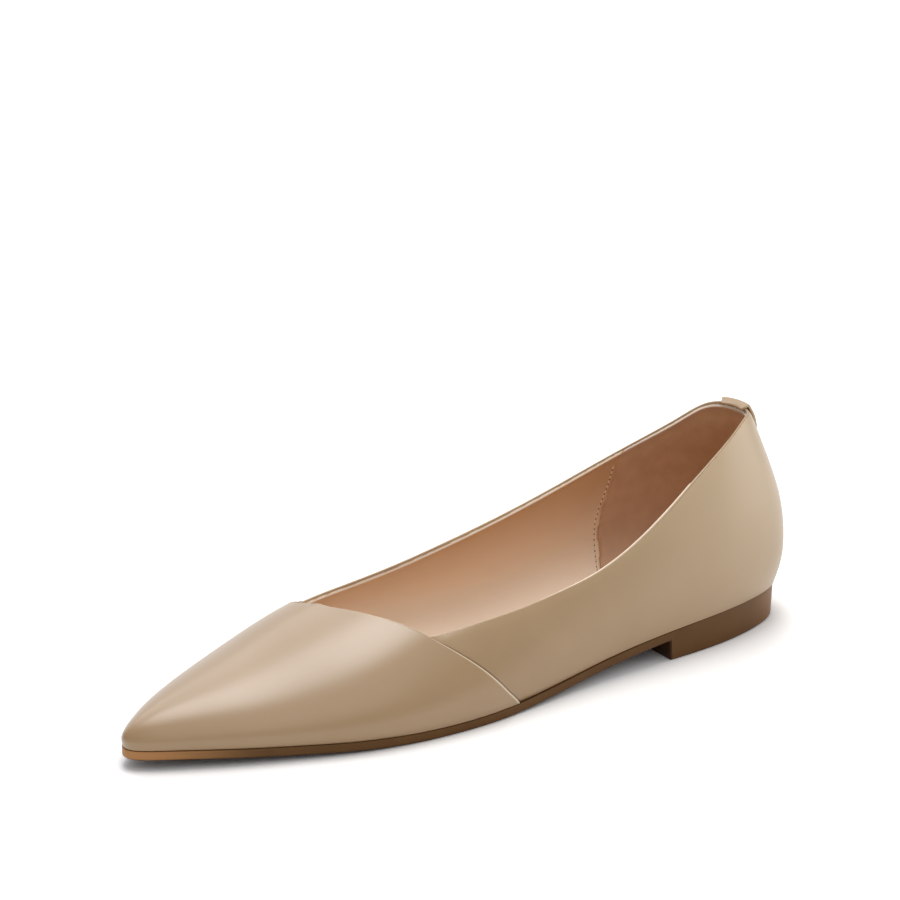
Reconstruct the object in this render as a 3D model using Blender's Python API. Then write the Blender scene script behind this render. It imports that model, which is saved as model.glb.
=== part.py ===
"""Pointed-toe slip-on flat for the left foot: outsole, hollow upper, vamp panel, insole and back tab.

The shape of the last is one function of two parameters on each side. The first is an angle that runs
from the toe (0) round to the back of the heel (pi); the second is a level that runs from the feather
edge (0) over the wall to the ridge (1). Stations are millimetres from the back of the heel.
"""

import bmesh
import bpy
import numpy as np

MM = 0.001

# Driving sizes in millimetres
LENGTH = 256.0
WALL = 1.6
SEAT_GAP = 0.3
PANEL_GAP = 0.30
PANEL_THICK = 0.65
SOLE_THICK = 3.2
INSOLE_THICK = 2.0
INSOLE_CLEARANCE = 0.4
HEEL_BREAST = 56.5
BREAST_SLANT = 1.0
HEEL_TAPER = 0.5
TOE_OVERHANG = 1.0
TOE_OVERHANG_LOW_Z = 6.0
TOE_OVERHANG_RISE = 4.0
TIP_SOFTNESS = 2.0
SWELL_LEVEL = 0.28
SWELL_SPAN = 66.0

# The opening: the throat leaves the ridge at its apex and reaches one corner on each side
THROAT_APEX = 175.8
THROAT_START_LATERAL = 0.27
THROAT_START_MEDIAL = 1.95
CORNER_LATERAL = 155.0
CORNER_MEDIAL = 174.2
SEAM_FOOT_LATERAL = 124.5
SEAM_FOOT_MEDIAL = 140.0

# Sweep of the columns over the medial side of the crown, where the throat reaches furthest forward:
# its size, the shares of the fall where it peaks and over which it returns, and its place along the shoe
SWEEP = 3.2
SWEEP_PEAK = 0.33
SWEEP_RETURN = 0.45
SWEEP_MIDDLE = 175.0
SWEEP_HALF = 25.0
SWEEP_FADE = 18.0

# Back tab, folded over the collar and bowed out below it
TAB_CENTRE = 0.08
TAB_HALF_ANGLE = 0.15
TAB_PROBE = 0.01
TAB_OUTSIDE = 8.5
TAB_INSIDE = 1.2
TAB_THICK = 0.75
TAB_GAP = 0.35
TAB_TOP_GAP = 0.5
TAB_BOW = 1.0
TAB_SINK = 0.4
TAB_FOLD_SQUARENESS = 4.0

# Mesh counts
FRONT_COLUMNS = 18
THROAT_COLUMNS = 7
THROAT_CROWDING = 2.0
SIDE_COLUMNS = 5
REAR_COLUMNS = 30
UPPER_ROWS = 13
ROW_CROWDING = 1.3
ROW_EASE = 1.2
RIB_COUNT = 72
HEEL_RIBS = 18
TAB_COLUMNS = 7
TAB_LEG_ROWS = 6
TAB_INSIDE_ROWS = 2
TAB_FOLD_ROWS = 9

# Distances in metres below which points are joined and slivers dissolved
JOIN_DISTANCE = 1e-6
SLIVER_DISTANCE = 1e-7

LATERAL = 1.0
MEDIAL = -1.0

# One row per section of the last, heel to toe: half widths of the feather edge on each side, height of
# that edge, height and offset of the ridge, swell of each wall, squareness of the section and how far
# the sole stands out beyond the feather edge
SECTION_COLUMNS = (
    "station", "lateral", "medial", "feather_z", "ridge_z", "ridge_y",
    "swell_lateral", "swell_medial", "shoulder", "sole_margin",
)
SECTIONS = np.array((
    (0.0, 0.0, 0.0, 12.0, 97.0, 0.0, 0.0, 0.0, 2.0, -0.3),
    (6.0, 15.2, 14.6, 12.0, 88.0, 0.0, 1.6, 1.6, 2.0, -0.3),
    (17.0, 21.4, 20.8, 12.0, 89.5, 0.0, 2.5, 2.5, 2.0, -0.2),
    (35.0, 26.0, 24.8, 11.9, 83.0, 0.0, 2.8, 3.2, 2.1, 0.0),
    (60.0, 28.0, 23.2, 10.6, 76.0, -1.0, 2.4, 4.0, 2.2, 0.2),
    (85.0, 29.4, 21.4, 7.9, 68.0, -2.5, 2.2, 5.0, 2.2, 0.5),
    (110.0, 32.6, 22.8, 5.0, 58.5, -4.2, 2.2, 5.0, 2.2, 0.8),
    (135.0, 35.8, 29.4, 3.5, 48.9, -5.6, 2.2, 3.6, 2.2, 1.2),
    (160.0, 36.0, 35.4, 3.5, 39.8, -6.8, 2.2, 2.4, 2.2, 1.2),
    (184.0, 32.4, 35.2, 4.2, 33.0, -7.4, 2.2, 2.2, 2.1, 1.2),
    (204.0, 26.0, 30.6, 5.1, 27.0, -6.0, 1.8, 2.0, 2.0, 1.2),
    (224.0, 18.3, 22.4, 6.0, 22.1, -3.9, 1.4, 1.6, 2.0, 1.2),
    (239.0, 11.5, 14.4, 6.7, 18.3, -2.3, 1.0, 1.2, 2.0, 1.2),
    (249.5, 6.3, 7.4, 7.0, 14.6, -0.9, 0.6, 0.6, 2.0, 1.2),
    (256.0, 0.0, 0.0, 7.1, 9.6, 0.0, 0.0, 0.0, 2.0, 1.2),
))

# Back curve of the heel: height, and how far the wall stands in from the furthest point
BACK_CURVE = np.array((
    (0.0, 4.6), (12.0, 2.5), (20.0, 0.3), (30.0, -0.5), (42.0, 0.7), (55.0, 4.6), (70.0, 10.0), (90.0, 17.1),
))

# Collar line: station, height on the lateral side, height on the medial side
COLLAR = np.array((
    (0.0, 72.2, 72.2),
    (4.0, 72.5, 72.5),
    (8.0, 72.0, 71.2),
    (18.0, 69.0, 66.2),
    (35.0, 62.2, 59.9),
    (52.0, 54.0, 55.7),
    (70.0, 45.4, 51.6),
    (88.0, 39.0, 47.6),
    (105.0, 36.1, 43.8),
    (120.0, 34.3, 39.7),
    (135.0, 33.0, 35.2),
    (155.0, 31.0, 31.2),
    (173.0, 30.2, 30.3),
))

# Edge of the sole from the underside (0) to the top (1): share of the height, step in from the outline
SOLE_EDGE = ((0.0, 0.7), (0.22, 0.1), (0.80, 0.0), (1.0, 0.35))


def srgb(red, green, blue):
    """Linear colour of 8-bit screen values."""
    values = np.array((red, green, blue)) / 255.0
    linear = np.where(values <= 0.04045, values / 12.92, ((values + 0.055) / 1.055) ** 2.4)
    return (*map(float, linear), 1.0)


def spline(knots, values, at):
    """Natural cubic through the knots, held constant outside them."""
    count = len(knots)
    step = np.diff(knots)
    system = np.eye(count)
    bend = np.zeros(count)
    slope = np.diff(values) / step
    for row in range(1, count - 1):
        system[row, row - 1:row + 2] = step[row - 1], 2.0 * (step[row - 1] + step[row]), step[row]
        bend[row] = 6.0 * (slope[row] - slope[row - 1])
    curve = np.linalg.solve(system, bend)
    at = np.clip(at, knots[0], knots[-1])
    low = np.clip(np.searchsorted(knots, at) - 1, 0, count - 2)
    left = (knots[low + 1] - at) / step[low]
    right = 1.0 - left
    cubic = (left**3 - left) * curve[low] + (right**3 - right) * curve[low + 1]
    return left * values[low] + right * values[low + 1] + cubic * step[low] ** 2 / 6.0


def angle_at(station):
    """Angle of a station: 0 at the toe, pi at the back of the heel."""
    return np.arccos(np.clip(2.0 * np.asarray(station, float) / LENGTH - 1.0, -1.0, 1.0))


def section(name, angle):
    """A column of the section table at an angle."""
    knots = angle_at(SECTIONS[::-1, 0])
    return spline(knots, SECTIONS[::-1, SECTION_COLUMNS.index(name)], angle)


def on_side(name, angle, side):
    """The lateral or medial half width, or its swell, at an angle."""
    prefix = "swell_" if name == "swell" else ""
    column = prefix + ("lateral" if side > 0 else "medial")
    return section(column, angle)


def last_point(angle, level, side, inset=0.0):
    """Points of the last, stepped in by inset (outwards where it is negative), in millimetres."""
    width = on_side("width", angle, side)
    width = width - inset * width / (width + TIP_SOFTNESS)
    low = section("feather_z", angle)
    high = section("ridge_z", angle) - inset
    z = low + (high - low) * level
    back = spline(BACK_CURVE[:, 0], BACK_CURVE[:, 1], z) + inset
    under = np.clip(1.0 - (z - TOE_OVERHANG_LOW_Z) / TOE_OVERHANG_RISE, 0.0, 1.0)
    front = LENGTH - inset - TOE_OVERHANG * under
    x = back + (front - back) * (1.0 + np.cos(angle)) / 2.0
    fall = np.sqrt(np.clip(1.0 - np.clip(level, 0.0, 1.0) ** section("shoulder", angle), 0.0, None))
    rise = (z - low) / (SWELL_LEVEL * np.minimum(high - low, SWELL_SPAN))
    swell = on_side("swell", angle, side) * rise * np.exp(1.0 - rise)
    y = section("ridge_y", angle) * (1.0 - fall) + side * (width + swell) * fall
    return np.stack(np.broadcast_arrays(x, y, z), axis=-1)


def collar_height(angle, side):
    """Height of the collar line, one curve from the lateral corner round the heel to the medial one."""
    turn = np.pi - angle_at(COLLAR[:, 0])
    knots = np.concatenate((-turn[:0:-1], turn))
    heights = np.concatenate((COLLAR[:0:-1, 1], COLLAR[:, 2]))
    return spline(knots, heights, -side * (np.pi - angle))


def level_of(height, angle, inset):
    """Level of a height on the wall."""
    low = section("feather_z", angle)
    return (height - low) / (section("ridge_z", angle) - inset - low)


def edge_level(angle, side, inset=0.0):
    """Level of the opening's edge: the ridge in front of the throat, then the throat, then the collar."""
    apex = angle_at(THROAT_APEX)
    corner = angle_at(CORNER_LATERAL if side > 0 else CORNER_MEDIAL)
    start = THROAT_START_LATERAL if side > 0 else THROAT_START_MEDIAL
    at_corner = level_of(collar_height(corner, side), corner, inset)
    along = np.clip((angle - apex) / (corner - apex), 0.0, 1.0)
    throat = 1.0 - (1.0 - at_corner) * along * (start + (1.0 - start) * along)
    collar = level_of(collar_height(angle, side), angle, inset)
    return np.clip(np.where(angle > corner, collar, throat), 0.0, 1.0)


def swept(angle, level, side):
    """Angles moved forward over the medial side of the crown, round the throat."""
    if side > 0:
        return angle
    station = LENGTH * (1.0 + np.cos(angle)) / 2.0
    fall = np.sqrt(1.0 - np.clip(level, 0.0, 1.0) ** 2)
    there = np.sin(np.pi / 2.0 * np.clip(fall / SWEEP_PEAK, 0.0, 1.0))
    back = np.cos(np.pi / 2.0 * np.clip((fall - SWEEP_PEAK) / SWEEP_RETURN, 0.0, 1.0)) ** 2
    near = np.clip((SWEEP_HALF - np.abs(station - SWEEP_MIDDLE)) / SWEEP_FADE, 0.0, 1.0)
    return angle_at(station + SWEEP * there * back * near * near * (3.0 - 2.0 * near))


def row_shares():
    """Shares of the way up a column, closest at the feather edge where the wall turns most."""
    return np.linspace(0.0, 1.0, UPPER_ROWS + 1) ** ROW_CROWDING


def wall_levels(angle, side, inset):
    """Levels of each column's rows: eased like a quarter turn under the ridge, nearly even elsewhere."""
    edge = edge_level(angle, side, inset)[:, None]
    bend = np.pi / 2.0 * (1.0 - ROW_EASE * (1.0 - edge))
    return edge * np.sin(bend * row_shares()) / np.sin(bend)


def add_grid(mesh, points):
    """Quads over a grid of points, in rows of new vertices, and those vertices."""
    rows = [[mesh.verts.new(point * MM) for point in row] for row in points]
    for first, second in zip(rows, rows[1:]):
        for index in range(len(first) - 1):
            mesh.faces.new((first[index], first[index + 1], second[index + 1], second[index]))
    return rows


def add_strip(mesh, first, second):
    """Quads between two rows of vertices."""
    for index in range(len(first) - 1):
        mesh.faces.new((first[index], first[index + 1], second[index + 1], second[index]))


def finish(mesh, name, material, smooth=True):
    """Closed mesh as an object of the scene, with coincident points joined."""
    bmesh.ops.remove_doubles(mesh, verts=mesh.verts, dist=JOIN_DISTANCE)
    bmesh.ops.dissolve_degenerate(mesh, edges=mesh.edges, dist=SLIVER_DISTANCE)
    bmesh.ops.recalc_face_normals(mesh, faces=mesh.faces)
    if mesh.calc_volume(signed=True) < 0.0:
        bmesh.ops.reverse_faces(mesh, faces=mesh.faces)
    data = bpy.data.meshes.new(name)
    mesh.to_mesh(data)
    mesh.free()
    data.materials.append(material)
    for polygon in data.polygons:
        polygon.use_smooth = smooth
    thing = bpy.data.objects.new(name, data)
    bpy.context.scene.collection.objects.link(thing)
    return thing


def principled(name, colour, roughness):
    """Material of one sub-part."""
    material = bpy.data.materials.new(name)
    material.use_nodes = True
    shader = material.node_tree.nodes["Principled BSDF"]
    shader.inputs["Base Color"].default_value = colour
    shader.inputs["Roughness"].default_value = roughness
    shader.inputs["Metallic"].default_value = 0.0
    return material


def leather():
    """Smooth beige leather of the upper."""
    return principled("leather", srgb(203, 178, 152), 0.42)


def panel_leather():
    """The same leather on the vamp."""
    return principled("panel_leather", srgb(205, 181, 155), 0.40)


def rubber():
    """Brown moulded rubber."""
    return principled("rubber", srgb(112, 78, 50), 0.45)


def lining():
    """Tan lining on the insole."""
    return principled("lining", srgb(205, 164, 132), 0.62)


def tab_leather():
    """Leather strip at the back."""
    return principled("tab_leather", srgb(198, 172, 146), 0.45)


def upper_angles():
    """Columns of the upper, with one on the throat's apex, crowded behind it, and one on each corner."""
    apex, medial, lateral = angle_at((THROAT_APEX, CORNER_MEDIAL, CORNER_LATERAL))
    front = np.linspace(0.0, apex, FRONT_COLUMNS, endpoint=False)
    throat = apex + (medial - apex) * np.linspace(0.0, 1.0, THROAT_COLUMNS, endpoint=False) ** THROAT_CROWDING
    side = np.linspace(medial, lateral, SIDE_COLUMNS, endpoint=False)
    rear = np.linspace(lateral, np.pi, REAR_COLUMNS + 1)
    return np.concatenate((front, throat, side, rear))


def make_upper():
    """One hollow wall, open along the throat and collar and along the feather edge."""
    mesh = bmesh.new()
    angles = upper_angles()
    for side in (LATERAL, MEDIAL):
        skins = []
        for inset in (0.0, WALL):
            levels = wall_levels(angles, side, inset)
            columns = swept(np.broadcast_to(angles[:, None], levels.shape), levels, side)
            points = last_point(columns, levels, side, inset)
            skins.append(add_grid(mesh, points))
        outer, inner = skins
        add_strip(mesh, [row[0] for row in outer], [row[0] for row in inner])
        opened = slice(FRONT_COLUMNS, None)
        add_strip(mesh, [row[-1] for row in outer[opened]], [row[-1] for row in inner[opened]])
    return finish(mesh, "upper", leather())


def panel_grid(side, inset):
    """Points of the vamp panel: toe to seam along one way, feather edge to ridge along the other."""
    apex, corner = angle_at((THROAT_APEX, CORNER_LATERAL if side > 0 else CORNER_MEDIAL))
    foot = angle_at(SEAM_FOOT_LATERAL if side > 0 else SEAM_FOOT_MEDIAL)
    top = upper_angles()
    top = top[top <= corner]
    lean = (foot - corner) * np.clip((top - apex) / (corner - apex), 0.0, 1.0) ** 2
    levels = wall_levels(top, side, inset)
    angles = top[:, None] + lean[:, None] * (1.0 - levels / levels[:, -1:])
    return last_point(swept(angles, levels, side), levels, side, inset)


def make_vamp_panel():
    """Front overlay between two skins of the last, from the toe to the slanting seam on each side."""
    mesh = bmesh.new()
    for side in (LATERAL, MEDIAL):
        inner = add_grid(mesh, panel_grid(side, -PANEL_GAP))
        outer = add_grid(mesh, panel_grid(side, -PANEL_GAP - PANEL_THICK))
        add_strip(mesh, [row[0] for row in outer], [row[0] for row in inner])
        add_strip(mesh, outer[-1], inner[-1])
        opened = slice(FRONT_COLUMNS, None)
        add_strip(mesh, [row[-1] for row in outer[opened]], [row[-1] for row in inner[opened]])
    return finish(mesh, "vamp_panel", panel_leather())


def outline(angle, side, inset):
    """Plan of the feather edge stepped in by inset."""
    return last_point(angle, np.zeros_like(angle), side, inset)


def rib_loops(angle, bottom, top, edge, taper):
    """Loop of points round each rib of a slab: up the lateral edge, then down the medial one."""
    margin = section("sole_margin", angle)
    loops = []
    for side, rows in ((LATERAL, edge), (MEDIAL, edge[::-1])):
        for share, step in rows:
            point = outline(angle, side, step + taper * (1.0 - share) - margin)
            point[:, 2] = bottom + (top - bottom) * share
            loops.append(point)
    return np.stack(loops, axis=1)


def skin_ribs(mesh, loops):
    """Skin over a row of closed loops, with the two ends filled."""
    rows = add_grid(mesh, loops)
    for first, second in zip(rows, rows[1:]):
        mesh.faces.new((first[-1], first[0], second[0], second[-1]))


def make_outsole():
    """Sole and heel moulded as one: flat under the forefoot and the heel, raised at the arch and the toe."""
    breast = angle_at(HEEL_BREAST)
    arch = angle_at(HEEL_BREAST + BREAST_SLANT)
    forepart = np.linspace(0.0, arch, RIB_COUNT - HEEL_RIBS)
    heel = np.linspace(breast, np.pi, HEEL_RIBS)
    top = section("feather_z", forepart) - SEAT_GAP
    under = np.clip(top - SOLE_THICK, 0.0, None)
    front_loops = rib_loops(forepart, under, top, SOLE_EDGE, 0.0)
    heel_top = section("feather_z", heel) - SEAT_GAP
    heel_loops = rib_loops(heel, np.zeros_like(heel), heel_top, SOLE_EDGE, HEEL_TAPER)
    mesh = bmesh.new()
    skin_ribs(mesh, np.concatenate((front_loops, heel_loops)))
    return finish(mesh, "outsole", rubber(), smooth=False)


def make_insole():
    """Slab that follows the top of the sole inside the wall."""
    angle = np.linspace(0.0, np.pi, RIB_COUNT)
    low = section("feather_z", angle)
    loops = []
    for side, rows in ((LATERAL, (0.0, INSOLE_THICK)), (MEDIAL, (INSOLE_THICK, 0.0))):
        for rise in rows:
            point = outline(angle, side, WALL + INSOLE_CLEARANCE)
            point[:, 2] = low + rise
            loops.append(point)
    mesh = bmesh.new()
    skin_ribs(mesh, np.stack(loops, axis=1))
    return finish(mesh, "insole", lining(), smooth=False)


def wall_middle(turn, drop):
    """Point half-way through the wall, a drop below the collar, at a turn from the back seam."""
    side = LATERAL if turn < 0 else MEDIAL
    angle = np.array(np.pi - abs(turn))
    inset = WALL / 2.0
    height = collar_height(angle, side) - drop
    return last_point(angle, level_of(height, angle, inset), side, inset)


def wall_outward(turn, drop):
    """Unit normal of the wall there, pointing out of the shoe."""
    across = wall_middle(turn + TAB_PROBE, drop) - wall_middle(turn - TAB_PROBE, drop)
    down = wall_middle(turn, drop + TAB_PROBE) - wall_middle(turn, drop)
    normal = np.cross(down, across)
    return normal / np.linalg.norm(normal)


def tab_profile(turn, depth):
    """One line of the tab at a depth through its leather: up outside, square over the collar, down inside."""
    reach = WALL / 2.0 + TAB_GAP + depth
    share = np.linspace(1.0, 0.0, TAB_LEG_ROWS, endpoint=False)
    outside = TAB_SINK + (TAB_OUTSIDE - TAB_SINK) * share
    stand = reach + TAB_BOW * np.sin(np.pi * share)
    inside = np.linspace(TAB_SINK, TAB_INSIDE, TAB_INSIDE_ROWS + 1)[1:]
    crown = wall_middle(turn, TAB_SINK)
    outward = wall_outward(turn, TAB_SINK)
    upward = wall_middle(turn, 0.0) - wall_middle(turn, TAB_PROBE)
    upward *= (TAB_SINK + TAB_TOP_GAP + depth) / np.linalg.norm(upward)
    bend = np.linspace(0.0, np.pi, TAB_FOLD_ROWS)
    power = 2.0 / TAB_FOLD_SQUARENESS
    across = reach * np.sign(np.cos(bend)) * np.abs(np.cos(bend)) ** power
    over = np.abs(np.sin(bend)) ** power
    points = [wall_middle(turn, drop) + wall_outward(turn, drop) * out for drop, out in zip(outside, stand)]
    points += list(crown + across[:, None] * outward + over[:, None] * upward)
    points += [wall_middle(turn, drop) - wall_outward(turn, drop) * reach for drop in inside]
    return np.array(points)


def make_back_tab():
    """Narrow strip folded over the collar at the back."""
    turns = TAB_CENTRE + np.linspace(-TAB_HALF_ANGLE, TAB_HALF_ANGLE, TAB_COLUMNS)
    inner = np.array([tab_profile(turn, 0.0) for turn in turns])
    outer = np.array([tab_profile(turn, TAB_THICK) for turn in turns])
    loops = np.concatenate((inner, outer[:, ::-1]), axis=1)
    mesh = bmesh.new()
    rows = add_grid(mesh, loops)
    for first, second in zip(rows, rows[1:]):
        mesh.faces.new((first[-1], first[0], second[0], second[-1]))
    half = inner.shape[1]
    for row in (rows[0], rows[-1]):
        add_strip(mesh, row[:half], row[:half - 1:-1])
    return finish(mesh, "back_tab", tab_leather())


def centre(things):
    """Hang every sub-part from one empty, so that the middle of the box round them stands over the origin."""
    points = np.array([vertex.co for thing in things for vertex in thing.data.vertices])
    middle = (points.min(axis=0) + points.max(axis=0)) / 2.0
    holder = bpy.data.objects.new("shoe", None)
    holder.location = (-middle[0], -middle[1], 0.0)
    bpy.context.scene.collection.objects.link(holder)
    for thing in things:
        thing.parent = holder


def main():
    """Clear the scene and build the shoe."""
    for thing in list(bpy.data.objects):
        bpy.data.objects.remove(thing, do_unlink=True)
    centre([make_outsole(), make_upper(), make_vamp_panel(), make_insole(), make_back_tab()])


main()
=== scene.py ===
"""Dressed model of a pointed-toe slip-on flat for the left foot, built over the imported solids.

Every wall is a surface of two parameters over one last: an angle that runs from the toe (0) round to the
back of the heel (pi), and a level that runs from the feather edge (0) over the wall to the ridge (1).
Stations are millimetres from the back of the heel, and sizes stay in millimetres until a mesh is made.
"""

import logging
import math
from dataclasses import dataclass
from enum import Enum
from functools import partial

import bmesh
import bpy
import numpy as np
from mathutils import Matrix, Vector


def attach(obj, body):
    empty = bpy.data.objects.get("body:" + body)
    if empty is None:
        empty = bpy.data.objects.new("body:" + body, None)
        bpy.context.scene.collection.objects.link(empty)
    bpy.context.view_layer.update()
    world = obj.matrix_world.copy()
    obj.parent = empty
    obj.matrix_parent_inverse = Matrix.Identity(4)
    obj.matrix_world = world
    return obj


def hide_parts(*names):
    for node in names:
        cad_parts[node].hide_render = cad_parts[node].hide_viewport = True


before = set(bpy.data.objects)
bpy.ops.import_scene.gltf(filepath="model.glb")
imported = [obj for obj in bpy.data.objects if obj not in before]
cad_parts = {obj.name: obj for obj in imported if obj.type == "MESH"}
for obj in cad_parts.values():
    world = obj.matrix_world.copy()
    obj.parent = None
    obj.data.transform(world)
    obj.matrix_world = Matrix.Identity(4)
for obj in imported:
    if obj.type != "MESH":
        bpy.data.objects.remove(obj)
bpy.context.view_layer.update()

LOG = logging.getLogger("shoe")
Array = np.ndarray
Colour = tuple[int, int, int]

MM = 0.001
BODY = "root"

# Squareness of a rounded edge and of a cut one
ROUND_EDGE, CUT_EDGE = 2.0, 3.0

# Points nearer than the first length are joined, and edges shorter than the second removed, in metres
JOIN_LENGTH, SHORT_LENGTH = 2e-6, 1e-7

# Vectors shorter than this have no direction
LEAST_LENGTH = 1e-9

# Places of the factor, the two colours and the result among the sockets of a colour mix
MIX_FACTOR, MIX_FIRST, MIX_SECOND, MIX_RESULT = 0, 6, 7, 2

# The middle of the box round the solids stands over the origin
FRAME_SHIFT = np.array((-128.2284, -0.0284, 0.0))

# One row per section of the last, heel to toe: half widths of the feather edge, height of that edge,
# height and offset of the ridge, swell of each wall, squareness of the section, margin of the sole
SECTION_COLUMNS = (
    "station", "lateral", "medial", "feather_z", "ridge_z", "ridge_y",
    "swell_lateral", "swell_medial", "shoulder", "sole_margin",
)
SECTIONS = np.array((
    (0.0, 0.0, 0.0, 12.0, 97.0, 0.0, 0.0, 0.0, 2.0, -0.3),
    (6.0, 15.2, 14.6, 12.0, 88.0, 0.0, 1.6, 1.6, 2.0, -0.3),
    (17.0, 21.4, 20.8, 12.0, 89.5, 0.0, 2.5, 2.5, 2.0, -0.2),
    (35.0, 26.0, 24.8, 11.9, 83.0, 0.0, 2.8, 3.2, 2.1, 0.0),
    (60.0, 28.0, 23.2, 10.6, 76.0, -1.0, 2.4, 4.0, 2.2, 0.2),
    (85.0, 29.4, 21.4, 7.9, 68.0, -2.5, 2.2, 5.0, 2.2, 0.5),
    (110.0, 32.6, 22.8, 5.0, 58.5, -4.2, 2.2, 5.0, 2.2, 0.8),
    (135.0, 35.8, 29.4, 3.5, 48.9, -5.6, 2.2, 3.6, 2.2, 1.2),
    (160.0, 36.0, 35.4, 3.5, 39.8, -6.8, 2.2, 2.4, 2.2, 1.2),
    (184.0, 32.4, 35.2, 4.2, 33.0, -7.4, 2.2, 2.2, 2.1, 1.2),
    (204.0, 26.0, 30.6, 5.1, 27.0, -6.0, 1.8, 2.0, 2.0, 1.2),
    (224.0, 18.3, 22.4, 6.0, 22.1, -3.9, 1.4, 1.6, 2.0, 1.2),
    (239.0, 11.5, 14.4, 6.7, 18.3, -2.3, 1.0, 1.2, 2.0, 1.2),
    (249.5, 6.3, 7.4, 7.0, 14.6, -0.9, 0.6, 0.6, 2.0, 1.2),
    (256.0, 0.0, 0.0, 7.1, 9.6, 0.0, 0.0, 0.0, 2.0, 1.2),
))

# Back curve of the heel: height, and how far the wall stands in from the furthest point
BACK_CURVE = np.array((
    (0.0, 4.6), (12.0, 2.5), (20.0, 0.3), (30.0, -0.5), (42.0, 0.7), (55.0, 4.6), (70.0, 10.0), (90.0, 17.1),
))

# Collar line: station, height on the lateral side, height on the medial side
COLLAR = np.array((
    (0.0, 72.2, 72.2), (4.0, 72.5, 72.5), (8.0, 72.0, 71.7), (18.0, 69.0, 66.2), (35.0, 62.2, 59.9),
    (52.0, 54.0, 55.7), (70.0, 45.4, 51.6), (88.0, 39.0, 47.6), (105.0, 36.1, 43.8), (120.0, 34.3, 39.7),
    (135.0, 33.0, 35.2), (155.0, 31.0, 31.2), (173.0, 30.2, 30.3),
))

# Lining: station, and how far its cut edge lies below the collar on the lateral and on the medial side
LINING_DROP = np.array((
    (0.0, 2.2, 2.2), (4.0, 1.7, 1.6), (10.0, 1.4, 1.1), (30.0, 1.2, 1.1), (60.0, 0.7, 1.2), (85.0, 0.6, 1.2),
    (110.0, 0.9, 1.4), (135.0, 1.3, 1.5), (175.0, 1.5, 1.3),
))

# Seam between the front lining and the heel lining: level on the wall, station
LINING_SEAM = np.array((
    (0.0, 48.6), (0.058, 49.2), (0.156, 50.8), (0.257, 51.5), (0.333, 50.9), (0.426, 48.6), (0.509, 46.1),
    (0.592, 43.9), (0.645, 42.3), (0.75, 39.4),
))


class Side(Enum):
    """The two sides of the foot, by the sign of their y axis."""

    LATERAL = 1.0
    MEDIAL = -1.0


SIDES = np.array([side.value for side in (Side.LATERAL, Side.MEDIAL)])[:, None, None]


def spline(knots: Array, values: Array, at: Array) -> Array:
    """Natural cubic through the knots, held constant outside them.

    The second derivatives solve the usual three-band system; each span then mixes its two end values and
    its two end bends by the share of the way along it.

    Args:
        knots: Rising places of the known values.
        values: Known values.
        at: Places to work out.

    Returns:
        Values at those places.
    """
    step = np.diff(knots)
    slope = np.diff(values) / step
    middle = np.r_[1.0, 2.0 * (step[:-1] + step[1:]), 1.0]
    system = np.diag(middle) + np.diag(np.r_[step[:-1], 0.0], -1) + np.diag(np.r_[0.0, step[1:]], 1)
    bend = np.linalg.solve(system, np.r_[0.0, 6.0 * np.diff(slope), 0.0])
    at = np.clip(at, knots[0], knots[-1])
    low = np.clip(np.searchsorted(knots, at) - 1, 0, len(knots) - 2)
    left = (knots[low + 1] - at) / step[low]
    right = 1.0 - left
    cubic = (left**3 - left) * bend[low] + (right**3 - right) * bend[low + 1]
    return left * values[low] + right * values[low + 1] + cubic * step[low] ** 2 / 6.0


def smooth(share: Array) -> Array:
    """Smooth step of a share held between 0 and 1: three squares less two cubes."""
    share = np.clip(share, 0.0, 1.0)
    return share * share * (3.0 - 2.0 * share)


def unit(vectors: Array) -> Array:
    """Vectors divided by their own length."""
    return vectors / np.maximum(np.linalg.norm(vectors, axis=-1, keepdims=True), LEAST_LENGTH)


def along(vectors: Array, direction: Array) -> Array:
    """The part of each vector that lies along a unit direction."""
    return np.sum(vectors * direction, axis=-1, keepdims=True) * direction


def linear(colour: Colour) -> tuple[float, float, float, float]:
    """Linear colour of 8-bit screen values, by the usual screen curve.

    Args:
        colour: Red, green and blue, 0 to 255.

    Returns:
        Linear red, green and blue, and an alpha of 1.
    """
    values = np.array(colour) / 255.0
    lit = np.where(values <= 0.04045, values / 12.92, ((values + 0.055) / 1.055) ** 2.4)
    return (*map(float, lit), 1.0)


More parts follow.
